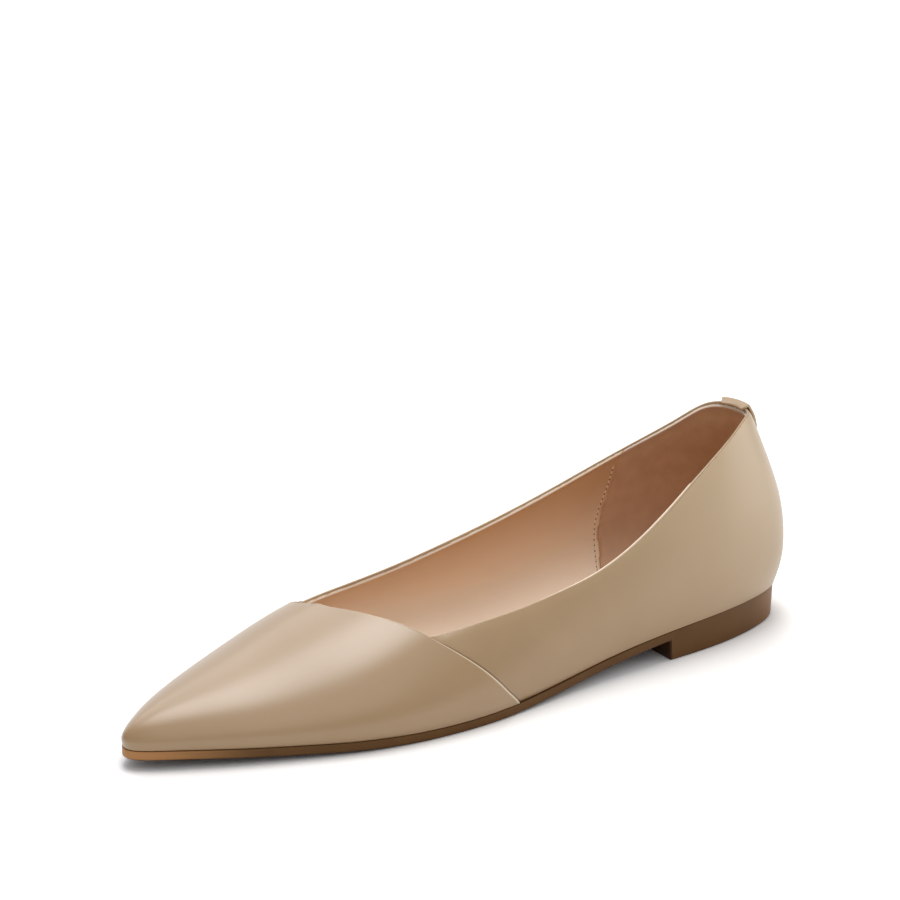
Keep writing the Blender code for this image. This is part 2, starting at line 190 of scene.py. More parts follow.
@dataclass(frozen=True)
class Last:
    """Shape of the last: sections by angle, raised to the ridge by level."""

    length: float = 256.0
    tip_softness: float = 2.0
    swell_level: float = 0.28
    swell_span: float = 66.0
    toe_overhang: float = 1.0
    toe_overhang_low: float = 6.0
    toe_overhang_rise: float = 4.0

    def angle(self, station: Array | float) -> Array:
        """Angle of a station: 0 at the toe, pi at the back of the heel."""
        return np.arccos(np.clip(2.0 * np.asarray(station, float) / self.length - 1.0, -1.0, 1.0))

    def station(self, angle: Array) -> Array:
        """Station of an angle."""
        return self.length * (1.0 + np.cos(angle)) / 2.0

    def column(self, name: str, angle: Array) -> Array:
        """A column of the section table at an angle."""
        return spline(self.angle(SECTIONS[::-1, 0]), SECTIONS[::-1, SECTION_COLUMNS.index(name)], angle)

    def by_side(self, stem: str, angle: Array, side: Array) -> Array:
        """The lateral or the medial column whose name starts with the stem."""
        return np.where(side > 0, self.column(stem + "lateral", angle), self.column(stem + "medial", angle))

    def point(self, angle: Array, level: Array, side: Array, inset: Array | float = 0.0) -> Array:
        """Points of the last, stepped in by an inset, or out where it is negative.

        Length runs by the cosine of the angle between the back curve and the toe. Height rises by the
        level. Width falls to the ridge as the root of one less the level to the power of the shoulder,
        after a swell that rises and dies away above the feather edge.

        Args:
            angle: 0 at the toe to pi at the heel.
            level: 0 at the feather edge to 1 at the ridge.
            side: 1 on the lateral side, -1 on the medial side.
            inset: Step in from the outside of the upper.

        Returns:
            Points in millimetres.
        """
        width = self.by_side("", angle, side)
        width = width - inset * width / (width + self.tip_softness)
        low = self.column("feather_z", angle)
        high = self.column("ridge_z", angle) - inset
        z = low + (high - low) * level
        back = spline(BACK_CURVE[:, 0], BACK_CURVE[:, 1], z) + inset
        under = np.clip(1.0 - (z - self.toe_overhang_low) / self.toe_overhang_rise, 0.0, 1.0)
        front = self.length - inset - self.toe_overhang * under
        x = back + (front - back) * (1.0 + np.cos(angle)) / 2.0
        shoulder = self.column("shoulder", angle)
        fall = np.sqrt(np.clip(1.0 - np.clip(level, 0.0, 1.0) ** shoulder, 0.0, None))
        rise = (z - low) / (self.swell_level * np.minimum(high - low, self.swell_span))
        swell = self.by_side("swell_", angle, side) * rise * np.exp(1.0 - rise)
        y = self.column("ridge_y", angle) * (1.0 - fall) + side * (width + swell) * fall
        return np.stack(np.broadcast_arrays(x, y, z), axis=-1)

    def collar(self, angle: Array, side: Array) -> Array:
        """Height of the collar line, one curve from the lateral corner round the heel to the medial one.

        Args:
            angle: 0 at the toe to pi at the heel.
            side: 1 on the lateral side, -1 on the medial side.

        Returns:
            Heights in millimetres.
        """
        turn = np.pi - self.angle(COLLAR[:, 0])
        knots = np.concatenate((-turn[:0:-1], turn))
        heights = np.concatenate((COLLAR[:0:-1, 1], COLLAR[:, 2]))
        return spline(knots, heights, -side * (np.pi - angle))

    def rise(self, angle: Array, inset: Array | float) -> Array:
        """Height of the ridge over the feather edge."""
        return self.column("ridge_z", angle) - inset - self.column("feather_z", angle)

    def level(self, height: Array, angle: Array, inset: Array | float) -> Array:
        """Level of a height on the wall."""
        return (height - self.column("feather_z", angle)) / self.rise(angle, inset)


@dataclass(frozen=True)
class Opening:
    """Edge of one layer round the opening: the ridge, then the throat, then the collar."""

    last: Last
    forward: float = 0.0
    lining_edge: bool = False
    drop: float = 0.0
    apex: float = 175.8
    corners: tuple[float, float] = (155.0, 174.2)
    starts: tuple[float, float] = (0.27, 1.95)
    sweep: float = 3.2
    sweep_peak: float = 0.33
    sweep_return: float = 0.45
    sweep_middle: float = 175.0
    sweep_half: float = 25.0
    sweep_fade: float = 18.0
    corner_blend: float = 0.04
    wall_share: float = 0.94

    def apex_angle(self) -> float:
        """Angle where the throat leaves the ridge."""
        return float(self.last.angle(self.apex + self.forward))

    def corner_angles(self) -> Array:
        """Angle of the opening's corner on each side, shaped for grids of halves."""
        return self.last.angle(np.array(self.corners) + self.forward)[:, None]

    def edge(self, angle: Array, inset: float) -> Array:
        """Level of the edge over both sides.

        Behind the corner it is the collar line less the drop; between apex and corner it falls from the
        ridge by a share of the way plus a share of the way squared; in front of the apex it is the ridge.

        Args:
            angle: Angles, one row for each side.
            inset: Step in from the outside of the upper.

        Returns:
            Levels, one row for each side.
        """
        corner = self.corner_angles()
        start = np.array(self.starts)[:, None]
        way = np.clip((angle - self.apex_angle()) / (corner - self.apex_angle()), 0.0, 1.0)
        at_corner = self.last.level(self.height(corner), corner, inset)
        throat = 1.0 - (1.0 - at_corner) * way * (start + (1.0 - start) * way)
        collar = self.last.level(self.height(angle), angle, inset)
        return np.clip(np.where(angle > corner, collar, throat), 0.0, 1.0)

    def height(self, angle: Array) -> Array:
        """Height of this layer's collar edge on both sides.

        Args:
            angle: Angles, one row for each side.

        Returns:
            Heights, one row for each side.
        """
        height = self.last.collar(angle, SIDES[:, :, 0]) - self.drop
        if not self.lining_edge:
            return height
        station = self.last.station(angle)
        low = [np.interp(station[row], LINING_DROP[:, 0], LINING_DROP[:, 1 + row]) for row in (0, 1)]
        return height - np.stack(low)

    def swept(self, angle: Array, levels: Array) -> Array:
        """Angles of the columns, swept forward over the medial side of the crown round the throat.

        The sweep rises as a quarter sine with the fall from the ridge to its peak, then returns as a
        squared cosine. It fades out along the shoe on both sides of its middle.

        Args:
            angle: Angles of both halves.
            levels: Levels of the same shape.

        Returns:
            Angles after the sweep.
        """
        station = self.last.station(angle)
        fall = np.sqrt(1.0 - np.clip(levels, 0.0, 1.0) ** 2)
        there = np.sin(np.pi / 2.0 * np.clip(fall / self.sweep_peak, 0.0, 1.0))
        back = np.cos(np.pi / 2.0 * np.clip((fall - self.sweep_peak) / self.sweep_return, 0.0, 1.0)) ** 2
        near = smooth((self.sweep_half - np.abs(station - self.sweep_middle)) / self.sweep_fade)
        return self.last.angle(station + self.sweep * there * back * near * (SIDES < 0.0))

    def rows(self, angle: Array, inset: float, shares: Array, below: Array) -> tuple[Array, Array, Array]:
        """Levels of each column's rows: by shares in front of the corner, at set distances behind it.

        Args:
            angle: Angles, one row for each side.
            inset: Step in from the outside of the upper.
            shares: Shares of the way up the wall, 0 to just under 1.
            below: Distances under the edge of the rows above those, falling to 0.

        Returns:
            Levels of the edge, levels of the rows, and how far each column is behind the corner, 0 to 1.
        """
        edge, rise = self.edge(angle, inset), self.last.rise(angle, inset)
        top = np.linspace(self.wall_share, 1.0, len(below))
        ahead = level_rows(edge, np.r_[self.wall_share * shares, top])
        wall = level_rows(edge - below[0] / rise, shares)
        rear = np.concatenate((wall, edge[..., None] - below / rise[..., None]), axis=-1)
        behind = smooth((angle - self.corner_angles()) / self.corner_blend)[..., None]
        return edge, ahead + (rear - ahead) * behind, behind


def level_rows(edge: Array, shares: Array, ease: float = 1.2) -> Array:
    """Levels of each column's rows: eased like a quarter turn under the ridge, nearly even under the collar.

    Args:
        edge: Level of the edge, any shape.
        shares: Shares of the way up, 0 to 1.
        ease: How quickly the easing fades as the edge drops below the ridge.

    Returns:
        Levels with one more axis, the rows.
    """
    bend = np.pi / 2.0 * (1.0 - ease * (1.0 - edge[..., None]))
    return edge[..., None] * np.sin(bend * shares) / np.sin(bend)


Loop = tuple[Array, Array]


def loop_of(*runs: tuple[int, Array | int, Array | int, Array | int, Array | int]) -> Loop:
    """One closed loop of grid places and, for each, the place beside it inside the patch.

    Args:
        runs: Half, columns, rows, columns beside and rows beside, for each stretch in order.

    Returns:
        Two index arrays of three rows: half, column, row.
    """
    edge, beside = [], []
    for run in runs:
        half, columns, rows, columns_in, rows_in = np.broadcast_arrays(*run)
        edge.append(np.stack((half, columns, rows)))
        beside.append(np.stack((half, columns_in, rows_in)))
    return np.concatenate(edge, axis=1), np.concatenate(beside, axis=1)


class Surface:
    """Grids of points gathered into one closed mesh, with an edge tone kept at every point that carries cut
    edges' colour as well as painted light and painted shade.
    """

    def __init__(self) -> None:
        """Start with no points."""
        self.points: list[Array] = []
        self.tones: list[Array] = []
        self.quads: list[Array] = []
        self.count = 0

    def add_grid(self, points: Array, tone: Array | float = 0.0, closed: bool = False) -> None:
        """Quads between neighbours of one grid or of several stacked ones.

        Args:
            points: Array whose last axes are columns, rows and x, y, z.
            tone: Edge tone that fits the grid, from -1 for painted shade to 1 for a cut edge's colour and for
                painted highlights.
            closed: Join the last column to the first.
        """
        columns, rows = points.shape[-3:-1]
        index = np.arange(points.size // 3).reshape(-1, columns, rows) + self.count
        if closed:
            index = np.concatenate((index, index[:, :1]), axis=1)
        corners = (index[:, :-1, :-1], index[:, 1:, :-1], index[:, 1:, 1:], index[:, :-1, 1:])
        self.quads.append(np.stack(corners, axis=-1).reshape(-1, 4))
        self.points.append(points.reshape(-1, 3))
        self.tones.append(np.broadcast_to(tone, points.shape[:-1]).reshape(-1))
        self.count += points.size // 3

    def add_rim(self, outer: Array, inner: Array, loop: Loop, bulge: Array | float,
                squareness: float, tone: Array | float, rows: int = 8) -> None:
        """Rounded edge between two facing grids along a closed loop.

        From outer to inner point it follows half a superellipse: the half thickness times the cosine,
        plus the bulge times the sine, each to the power of two over the squareness.

        Args:
            outer: Grid of halves on the outside.
            inner: Grid of halves on the inside.
            loop: Places of the loop and the places beside it.
            bulge: How far the edge stands out from the patch.
            squareness: 2 for a round edge, more for a cut one.
            tone: Edge tone half-way round, or the tone of each step for each place.
            rows: Steps round the edge.
        """
        edge, beside = (tuple(places) for places in loop)
        first, second = outer[edge], inner[edge]
        normal = unit(first - second)
        tangent = np.roll(first, -1, axis=0) - np.roll(first, 1, axis=0)
        tangent = unit(tangent - along(tangent, normal))
        away = first - outer[beside]
        away = away - along(away, normal)
        away = unit(away - along(away, tangent))
        turn = np.linspace(0.0, np.pi, rows + 1)[:, None]
        power = 2.0 / squareness
        across = np.sign(np.cos(turn)) * np.abs(np.cos(turn)) ** power
        out = np.abs(np.sin(turn)) ** power
        bulge = np.broadcast_to(bulge, len(first))[:, None, None]
        points = ((first + second)[:, None] + (first - second)[:, None] * across) / 2.0
        points = points + away[:, None] * bulge * out
        tone = tone if np.ndim(tone) else tone * np.broadcast_to(out[:, 0], points.shape[:-1])
        self.add_grid(points, tone, closed=True)

    def build(self, name: str, sharp_degrees: float = 60.0) -> bpy.types.Object:
        """Mesh object with coincident points joined and faces turned outwards.

        Args:
            name: Name of the piece.
            sharp_degrees: Edges that turn by more than this stay crisp.

        Returns:
            The object, linked to the scene at the origin.
        """
        mesh = bpy.data.meshes.new(name)
        places = (np.concatenate(self.points) + FRAME_SHIFT) * MM
        mesh.from_pydata(places, [], np.concatenate(self.quads).tolist())
        # Edge tone: cut edges' colour, painted highlights and painted shade
        tone = mesh.attributes.new("edge", "FLOAT", "POINT")
        tone.data.foreach_set("value", np.concatenate(self.tones).astype(np.float32))
        work = bmesh.new()
        work.from_mesh(mesh)
        bmesh.ops.remove_doubles(work, verts=work.verts, dist=JOIN_LENGTH)
        bmesh.ops.dissolve_degenerate(work, edges=work.edges, dist=SHORT_LENGTH)
        bmesh.ops.recalc_face_normals(work, faces=work.faces)
        if work.calc_volume(signed=True) < 0.0:
            bmesh.ops.reverse_faces(work, faces=work.faces)
        work.to_mesh(mesh)
        work.free()
        mesh.polygons.foreach_set("use_smooth", np.ones(len(mesh.polygons), bool))
        mesh.set_sharp_from_angle(angle=math.radians(sharp_degrees))
        thing = bpy.data.objects.new(name, mesh)
        bpy.context.scene.collection.objects.link(thing)
        return thing


class ShaderGroups:
    """Shader node groups that the finishes share, each built once."""

    # Settings of the grain's textures
    crease_width: float = 0.22
    ripple_detail: float = 4.0
    ripple_roughness: float = 0.6
    mottle_detail: float = 3.0
    mottle_range: tuple[float, float] = (0.32, 0.68)

    def __init__(self) -> None:
        """Build both groups."""
        self.grain = self.make_grain()
        self.tone = self.make_tone()

    @staticmethod
    def start(name: str, inputs: dict[str, str], outputs: dict[str, str]) -> bpy.types.NodeTree:
        """Empty group with its sockets.

        Args:
            name: Name of the group.
            inputs: Kind of each input by name.
            outputs: Kind of each output by name.

        Returns:
            The node tree, with one input and one output node.
        """
        tree = bpy.data.node_groups.new(name, "ShaderNodeTree")
        for labels, way in ((inputs, "INPUT"), (outputs, "OUTPUT")):
            for label, kind in labels.items():
                tree.interface.new_socket(label, in_out=way, socket_type="NodeSocket" + kind)
        tree.nodes.new("NodeGroupInput").name = "in"
        tree.nodes.new("NodeGroupOutput").name = "out"
        return tree

    def make_grain(self) -> bpy.types.NodeTree:
        """Grain of a hide: small cells with creased edges over a fine ripple, and a slow mottle.

        Returns:
            Group that gives the height of the grain and the mottle.
        """
        taken = dict.fromkeys(("Cell Scale", "Ripple Scale", "Mottle Scale", "Cell Share"), "Float")
        given_out = dict.fromkeys(("Height", "Mottle"), "Float")
        tree = self.start("hide_grain", {"Vector": "Vector", **taken}, given_out)
        nodes, links = tree.nodes, tree.links
        given, made = nodes["in"].outputs, nodes["out"].inputs
        cells = nodes.new("ShaderNodeTexVoronoi")
        cells.feature = "DISTANCE_TO_EDGE"
        ripple, mottle = nodes.new("ShaderNodeTexNoise"), nodes.new("ShaderNodeTexNoise")
        for texture, scale in ((cells, "Cell Scale"), (ripple, "Ripple Scale"), (mottle, "Mottle Scale")):
            links.new(given["Vector"], texture.inputs["Vector"])
            links.new(given[scale], texture.inputs["Scale"])
        ripple.inputs["Detail"].default_value = self.ripple_detail
        ripple.inputs["Roughness"].default_value = self.ripple_roughness
        mottle.inputs["Detail"].default_value = self.mottle_detail
        crease = nodes.new("ShaderNodeMapRange")
        crease.interpolation_type = "SMOOTHSTEP"
        crease.inputs["From Max"].default_value = self.crease_width
        links.new(cells.outputs["Distance"], crease.inputs["Value"])
        height = nodes.new("ShaderNodeMix")
        links.new(given["Cell Share"], height.inputs["Factor"])
        links.new(ripple.outputs["Fac"], height.inputs["A"])
        links.new(crease.outputs["Result"], height.inputs["B"])
        links.new(height.outputs["Result"], made["Height"])
        spread = nodes.new("ShaderNodeMapRange")
        low, high = self.mottle_range
        spread.inputs["From Min"].default_value = low
        spread.inputs["From Max"].default_value = high
        links.new(mottle.outputs["Fac"], spread.inputs["Value"])
        links.new(spread.outputs["Result"], made["Mottle"])
        return tree

    def make_tone(self) -> bpy.types.NodeTree:
        """Colour of a hide: the base drifts to a second colour with the mottle, to the cut colour for cut
        edges and painted highlights, and to the shade colour for painted shade.

        Returns:
            Group that gives the colour.
        """
        colours = dict.fromkeys(("Base", "Second", "Cut", "Shade"), "Color")
        tree = self.start("hide_tone", {**colours, "Mottle": "Float", "Edge": "Float"}, {"Color": "Color"})
        nodes, links = tree.nodes, tree.links
        given = nodes["in"].outputs
        dark = nodes.new("ShaderNodeMapRange")
        dark.inputs["From Max"].default_value = -1.0
        links.new(given["Edge"], dark.inputs["Value"])
        colour = given["Base"]
        drifts = {"Second": given["Mottle"], "Cut": given["Edge"], "Shade": dark.outputs["Result"]}
        for second, factor in drifts.items():
            mix = nodes.new("ShaderNodeMix")
            mix.data_type = "RGBA"
            links.new(factor, mix.inputs[MIX_FACTOR])
            links.new(colour, mix.inputs[MIX_FIRST])
            links.new(given[second], mix.inputs[MIX_SECOND])
            colour = mix.outputs[MIX_RESULT]
        links.new(colour, nodes["out"].inputs["Color"])
        return tree


@dataclass(frozen=True)
class Finish:
    """One finish: colours, gloss and the grain of its surface, with scales per metre."""

    name: str
    base: Colour
    second: Colour
    # Colour of cut edges, which painted highlights also drift to
    cut: Colour
    roughness: float
    roughness_spread: float
    cell_scale: float
    ripple_scale: float
    mottle_scale: float
    cell_share: float
    depth: float
    coat: float = 0.0
    coat_roughness: float = 0.3
    sheen: float = 0.0
    sheen_roughness: float = 0.5
    specular: float = 0.5
    shade_shares: tuple[float, float, float] = (0.46, 0.31, 0.17)

    def shade(self) -> Colour:
        """Colour of the base darkened for painted shade."""
        return tuple(round(value * share) for value, share in zip(self.base, self.shade_shares))

    def material(self, groups: ShaderGroups) -> bpy.types.Material:
        """Procedural material of this finish.

        Args:
            groups: The shared node groups.

        Returns:
            The material.
        """
        material = bpy.data.materials.new(self.name)
        material.use_nodes = True
        nodes, links = material.node_tree.nodes, material.node_tree.links
        shader = nodes["Principled BSDF"]
        for socket, value in (("Coat Weight", self.coat), ("Coat Roughness", self.coat_roughness),
                              ("Sheen Weight", self.sheen), ("Sheen Roughness", self.sheen_roughness),
                              ("Specular IOR Level", self.specular)):
            shader.inputs[socket].default_value = value
        grain, tone = nodes.new("ShaderNodeGroup"), nodes.new("ShaderNodeGroup")
        grain.node_tree, tone.node_tree = groups.grain, groups.tone
        for label, value in (("Cell Scale", self.cell_scale), ("Ripple Scale", self.ripple_scale),
                             ("Mottle Scale", self.mottle_scale), ("Cell Share", self.cell_share)):
            grain.inputs[label].default_value = value
        for label, colour in (("Base", self.base), ("Second", self.second), ("Cut", self.cut),
                              ("Shade", self.shade())):
            tone.inputs[label].default_value = linear(colour)
        place, edge = nodes.new("ShaderNodeTexCoord"), nodes.new("ShaderNodeAttribute")
        edge.attribute_name = "edge"
        links.new(place.outputs["Object"], grain.inputs["Vector"])
        links.new(grain.outputs["Mottle"], tone.inputs["Mottle"])
        links.new(edge.outputs["Fac"], tone.inputs["Edge"])
        links.new(tone.outputs["Color"], shader.inputs["Base Color"])
        gloss = nodes.new("ShaderNodeMapRange")
        gloss.inputs["To Min"].default_value = self.roughness - self.roughness_spread
        gloss.inputs["To Max"].default_value = self.roughness + self.roughness_spread
        links.new(grain.outputs["Mottle"], gloss.inputs["Value"])
        links.new(gloss.outputs["Result"], shader.inputs["Roughness"])
        bump = nodes.new("ShaderNodeBump")
        bump.inputs["Strength"].default_value = 1.0
        bump.inputs["Distance"].default_value = self.depth * MM
        links.new(grain.outputs["Height"], bump.inputs["Height"])
        links.new(bump.outputs["Normal"], shader.inputs["Normal"])
        return material


LEATHER = Finish("smooth_leather", (177, 147, 111), (170, 140, 104), (206, 182, 150), 0.33, 0.03,
                 1500.0, 700.0, 32.0, 0.55, 0.008, coat=0.35, coat_roughness=0.27)
VAMP_LEATHER = Finish("smooth_vamp_leather", (172, 140, 102), (170, 138, 100), (228, 206, 172), 0.35, 0.03,
                      1500.0, 700.0, 32.0, 0.55, 0.008, coat=0.9, coat_roughness=0.33)
TAB_LEATHER = Finish("tab_strip_leather", (175, 145, 109), (169, 139, 103), (206, 180, 146), 0.38, 0.03,
                     1500.0, 700.0, 40.0, 0.55, 0.010, coat=0.25, coat_roughness=0.30)
LINING = Finish("smooth_lining", (204, 159, 117), (199, 153, 111), (255, 236, 212), 0.55, 0.05,
                1800.0, 900.0, 45.0, 0.4, 0.010)
SUEDE = Finish("suede_lining", (203, 157, 115), (193, 146, 105), (252, 238, 222), 0.95, 0.04,
               2600.0, 1900.0, 160.0, 0.15, 0.060, sheen=0.25, sheen_roughness=0.6, specular=0.2)
SOCK = Finish("sock_lining", (222, 184, 150), (216, 176, 142), (236, 212, 186), 0.60, 0.05,
              1700.0, 900.0, 28.0, 0.4, 0.014)
RUBBER = Finish("brown_rubber", (101, 66, 20), (94, 60, 16), (186, 132, 80), 0.42, 0.05,
                900.0, 1600.0, 60.0, 0.1, 0.012, specular=0.3)
THREAD = Finish("lining_thread", (240, 215, 190), (230, 202, 174), (240, 215, 190), 0.75, 0.05,
                3000.0, 2600.0, 300.0, 0.1, 0.030)
# Dark marks that stand for the painted shade inside the needle holes
NEEDLE_HOLE_SHADE = Finish("needle_hole_shade", (72, 44, 28), (60, 36, 22), (72, 44, 28), 0.9, 0.03,
                     2000.0, 1500.0, 300.0, 0.1, 0.010, specular=0.2)


@dataclass
class Dresser:
    """Puts finished pieces on the shoe's body and reports them."""

    groups: ShaderGroups

    def dress(self, thing: bpy.types.Object, finish: Finish, slot: str, *stands_for: str) -> None:
        """Finish, body and replaced nodes of one piece.

        Args:
            thing: The piece.
            finish: Its finish.
            slot: Material slot; not used.
            stands_for: Names of the CAD nodes that it replaces.
        """
        thing.data.materials.append(finish.material(self.groups))
        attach(thing, BODY)
        if stands_for:
            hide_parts(*stands_for)
        triangles = sum(len(face.vertices) - 2 for face in thing.data.polygons)
        LOG.info("%s: %d triangles, %s", thing.name, triangles, finish.name)


@dataclass(frozen=True)
class Quarters:
    """Leather wall from the toe round to the heel, with a soft turned edge along the collar."""

    last: Last
    thickness: float = 0.7
    bead: float = 0.5
    bead_height: float = 0.3
    # Painted shade on the inner skin behind the corner, below the bead
    groove_shade: float = 1.0
    # Painted highlight up the heel: its strength, its reach forward from the back, and the heights where it
    # starts and is full
    heel_highlight: float = 0.85
    heel_highlight_reach: float = 120.0
    heel_highlight_low: float = 0.0
    heel_highlight_high: float = 50.0
    turn_in: float = 0.45
    turn_height: float = 3.2
    rim_height: float = 0.55
    rim_lift: float = 0.45
    rim_turn: float = 0.15
    # Lighter turned edge on the lateral and the medial side, with a painted highlight that is strongest on
    # the medial side
    rim_edge_and_highlight: tuple[float, float] = (0.1, 0.7)
    under_vamp: float = 1.1
    inner_turn: float = 0.4
    edge_rows: tuple[float, ...] = (3.2, 2.6, 2.0, 1.5, 1.2, 0.95, 0.75, 0.6, 0.45, 0.3, 0.15, 0.0)
    wall_rows: int = 34
    wall_power: float = 1.15
    rim_steps: int = 10
    columns: tuple[int, int, int, int] = (52, 12, 16, 110)

    def angles(self, opening: Opening) -> tuple[Array, int]:
        """Columns from the toe by the throat's apex and both corners to the back of the heel.

        Args:
            opening: Edge of this layer.

        Returns:
            Angles of the columns, and the index of the apex among them.
        """
        corners = opening.corner_angles()[:, 0]
        ends = (0.0, opening.apex_angle(), corners.min(), corners.max(), np.pi)
        runs = [np.linspace(start, end, count, endpoint=end == np.pi)
                for start, end, count in zip(ends, ends[1:], self.columns)]
        return np.concatenate(runs), self.columns[0]

    def grids(self, opening: Opening) -> tuple[Array, Array, Array, Array, int]:
        """Outer and inner skin.

        The outer skin turns in towards the collar as the square of the nearness to its edge. The inner
        skin keeps the leather's thickness and thickens into a bead at the edge; below the bead it carries
        painted shade. The outer skin carries a painted highlight that grows up the heel and towards the back.

        Args:
            opening: Edge of this layer.

        Returns:
            Outer grid, inner grid, the edge tone of each (a painted highlight outside, painted shade inside),
            and the apex column.
        """
        column, apex = self.angles(opening)
        column = np.broadcast_to(column, (2, len(column)))
        shares = np.linspace(0.0, 1.0, self.wall_rows, endpoint=False) ** self.wall_power
        edge, levels, behind = opening.rows(column, 0.0, shares, np.array(self.edge_rows))
        angle = np.broadcast_to(column[..., None], levels.shape)
        below = (edge[..., None] - levels) * self.last.rise(angle, 0.0)
        turned = self.turn_in * np.clip(1.0 - below / self.turn_height, 0.0, 1.0) ** 2 * behind
        bead = smooth(2.0 - 2.0 * below / self.bead_height) * behind
        angle = opening.swept(angle, levels)
        outer = self.last.point(angle, levels, SIDES, turned)
        inset = turned * self.inner_turn + self.thickness + self.bead * bead
        inner = self.last.point(angle, levels, SIDES, inset)
        # Painted highlight on the outer skin, towards the back and up the heel
        pale = smooth(1.0 - self.last.station(angle) / self.heel_highlight_reach)
        pale = pale * smooth((outer[..., 2] - self.heel_highlight_low) / (self.heel_highlight_high - self.heel_highlight_low))
        # Painted highlight on the outer skin, painted shade under the bead on the inner skin
        return outer, inner, self.heel_highlight * pale, -self.groove_shade * (behind - bead), apex

    def rim_heights(self, opening: Opening, edge: Array) -> Array:
        """Height of the turned edge: it stands higher on the medial side, between the back and the throat.

        Args:
            opening: Edge of this layer.
            edge: Half, column and row of each place along the edge.

        Returns:
            Height at each place.
        """
        half, column, _ = edge
        angle = self.angles(opening)[0][column]
        behind = smooth((angle - opening.corner_angles()[half, 0]) / opening.corner_blend)
        return self.rim_height + self.rim_lift * half * behind * smooth((np.pi - angle) / self.rim_turn)

    def build(self, dresser: Dresser) -> None:
        """Mesh of the wall, closed along the opening and the feather edge.

        Args:
            dresser: Puts the piece on the shoe.
        """
        opening = Opening(self.last, forward=self.under_vamp, drop=self.rim_height)
        outer, inner, outer_tone, inner_tone, apex = self.grids(opening)
        columns, rows = outer.shape[1:3]
        top, last = rows - 1, columns - 1
        surface = Surface()
        surface.add_grid(outer, outer_tone)
        surface.add_grid(inner, inner_tone)
        lateral, medial = np.arange(apex + 1, columns), np.arange(last - 1, apex, -1)
        opened = loop_of((0, np.array([apex]), top, apex - 1, top), (0, lateral, top, lateral, top - 1),
                         (1, medial, top, medial, top - 1))
        forth, back = np.arange(columns), np.arange(last - 1, 0, -1)
        under = loop_of((0, forth, 0, forth, 1), (1, back, 0, back, 1))
        arch = np.sin(np.linspace(0.0, np.pi, self.rim_steps + 1))
        # Lighter turned edge with a painted highlight, a half sine round the edge
        tone = np.array(self.rim_edge_and_highlight)[opened[0][0]][:, None] * arch
        heights = self.rim_heights(opening, opened[0])
        surface.add_rim(outer, inner, opened, heights, ROUND_EDGE, tone, rows=self.rim_steps)
        surface.add_rim(outer, inner, under, 0.0, ROUND_EDGE, 0.0, rows=2)
        dresser.dress(surface.build("quarter_leather"), LEATHER, "leather", "upper")


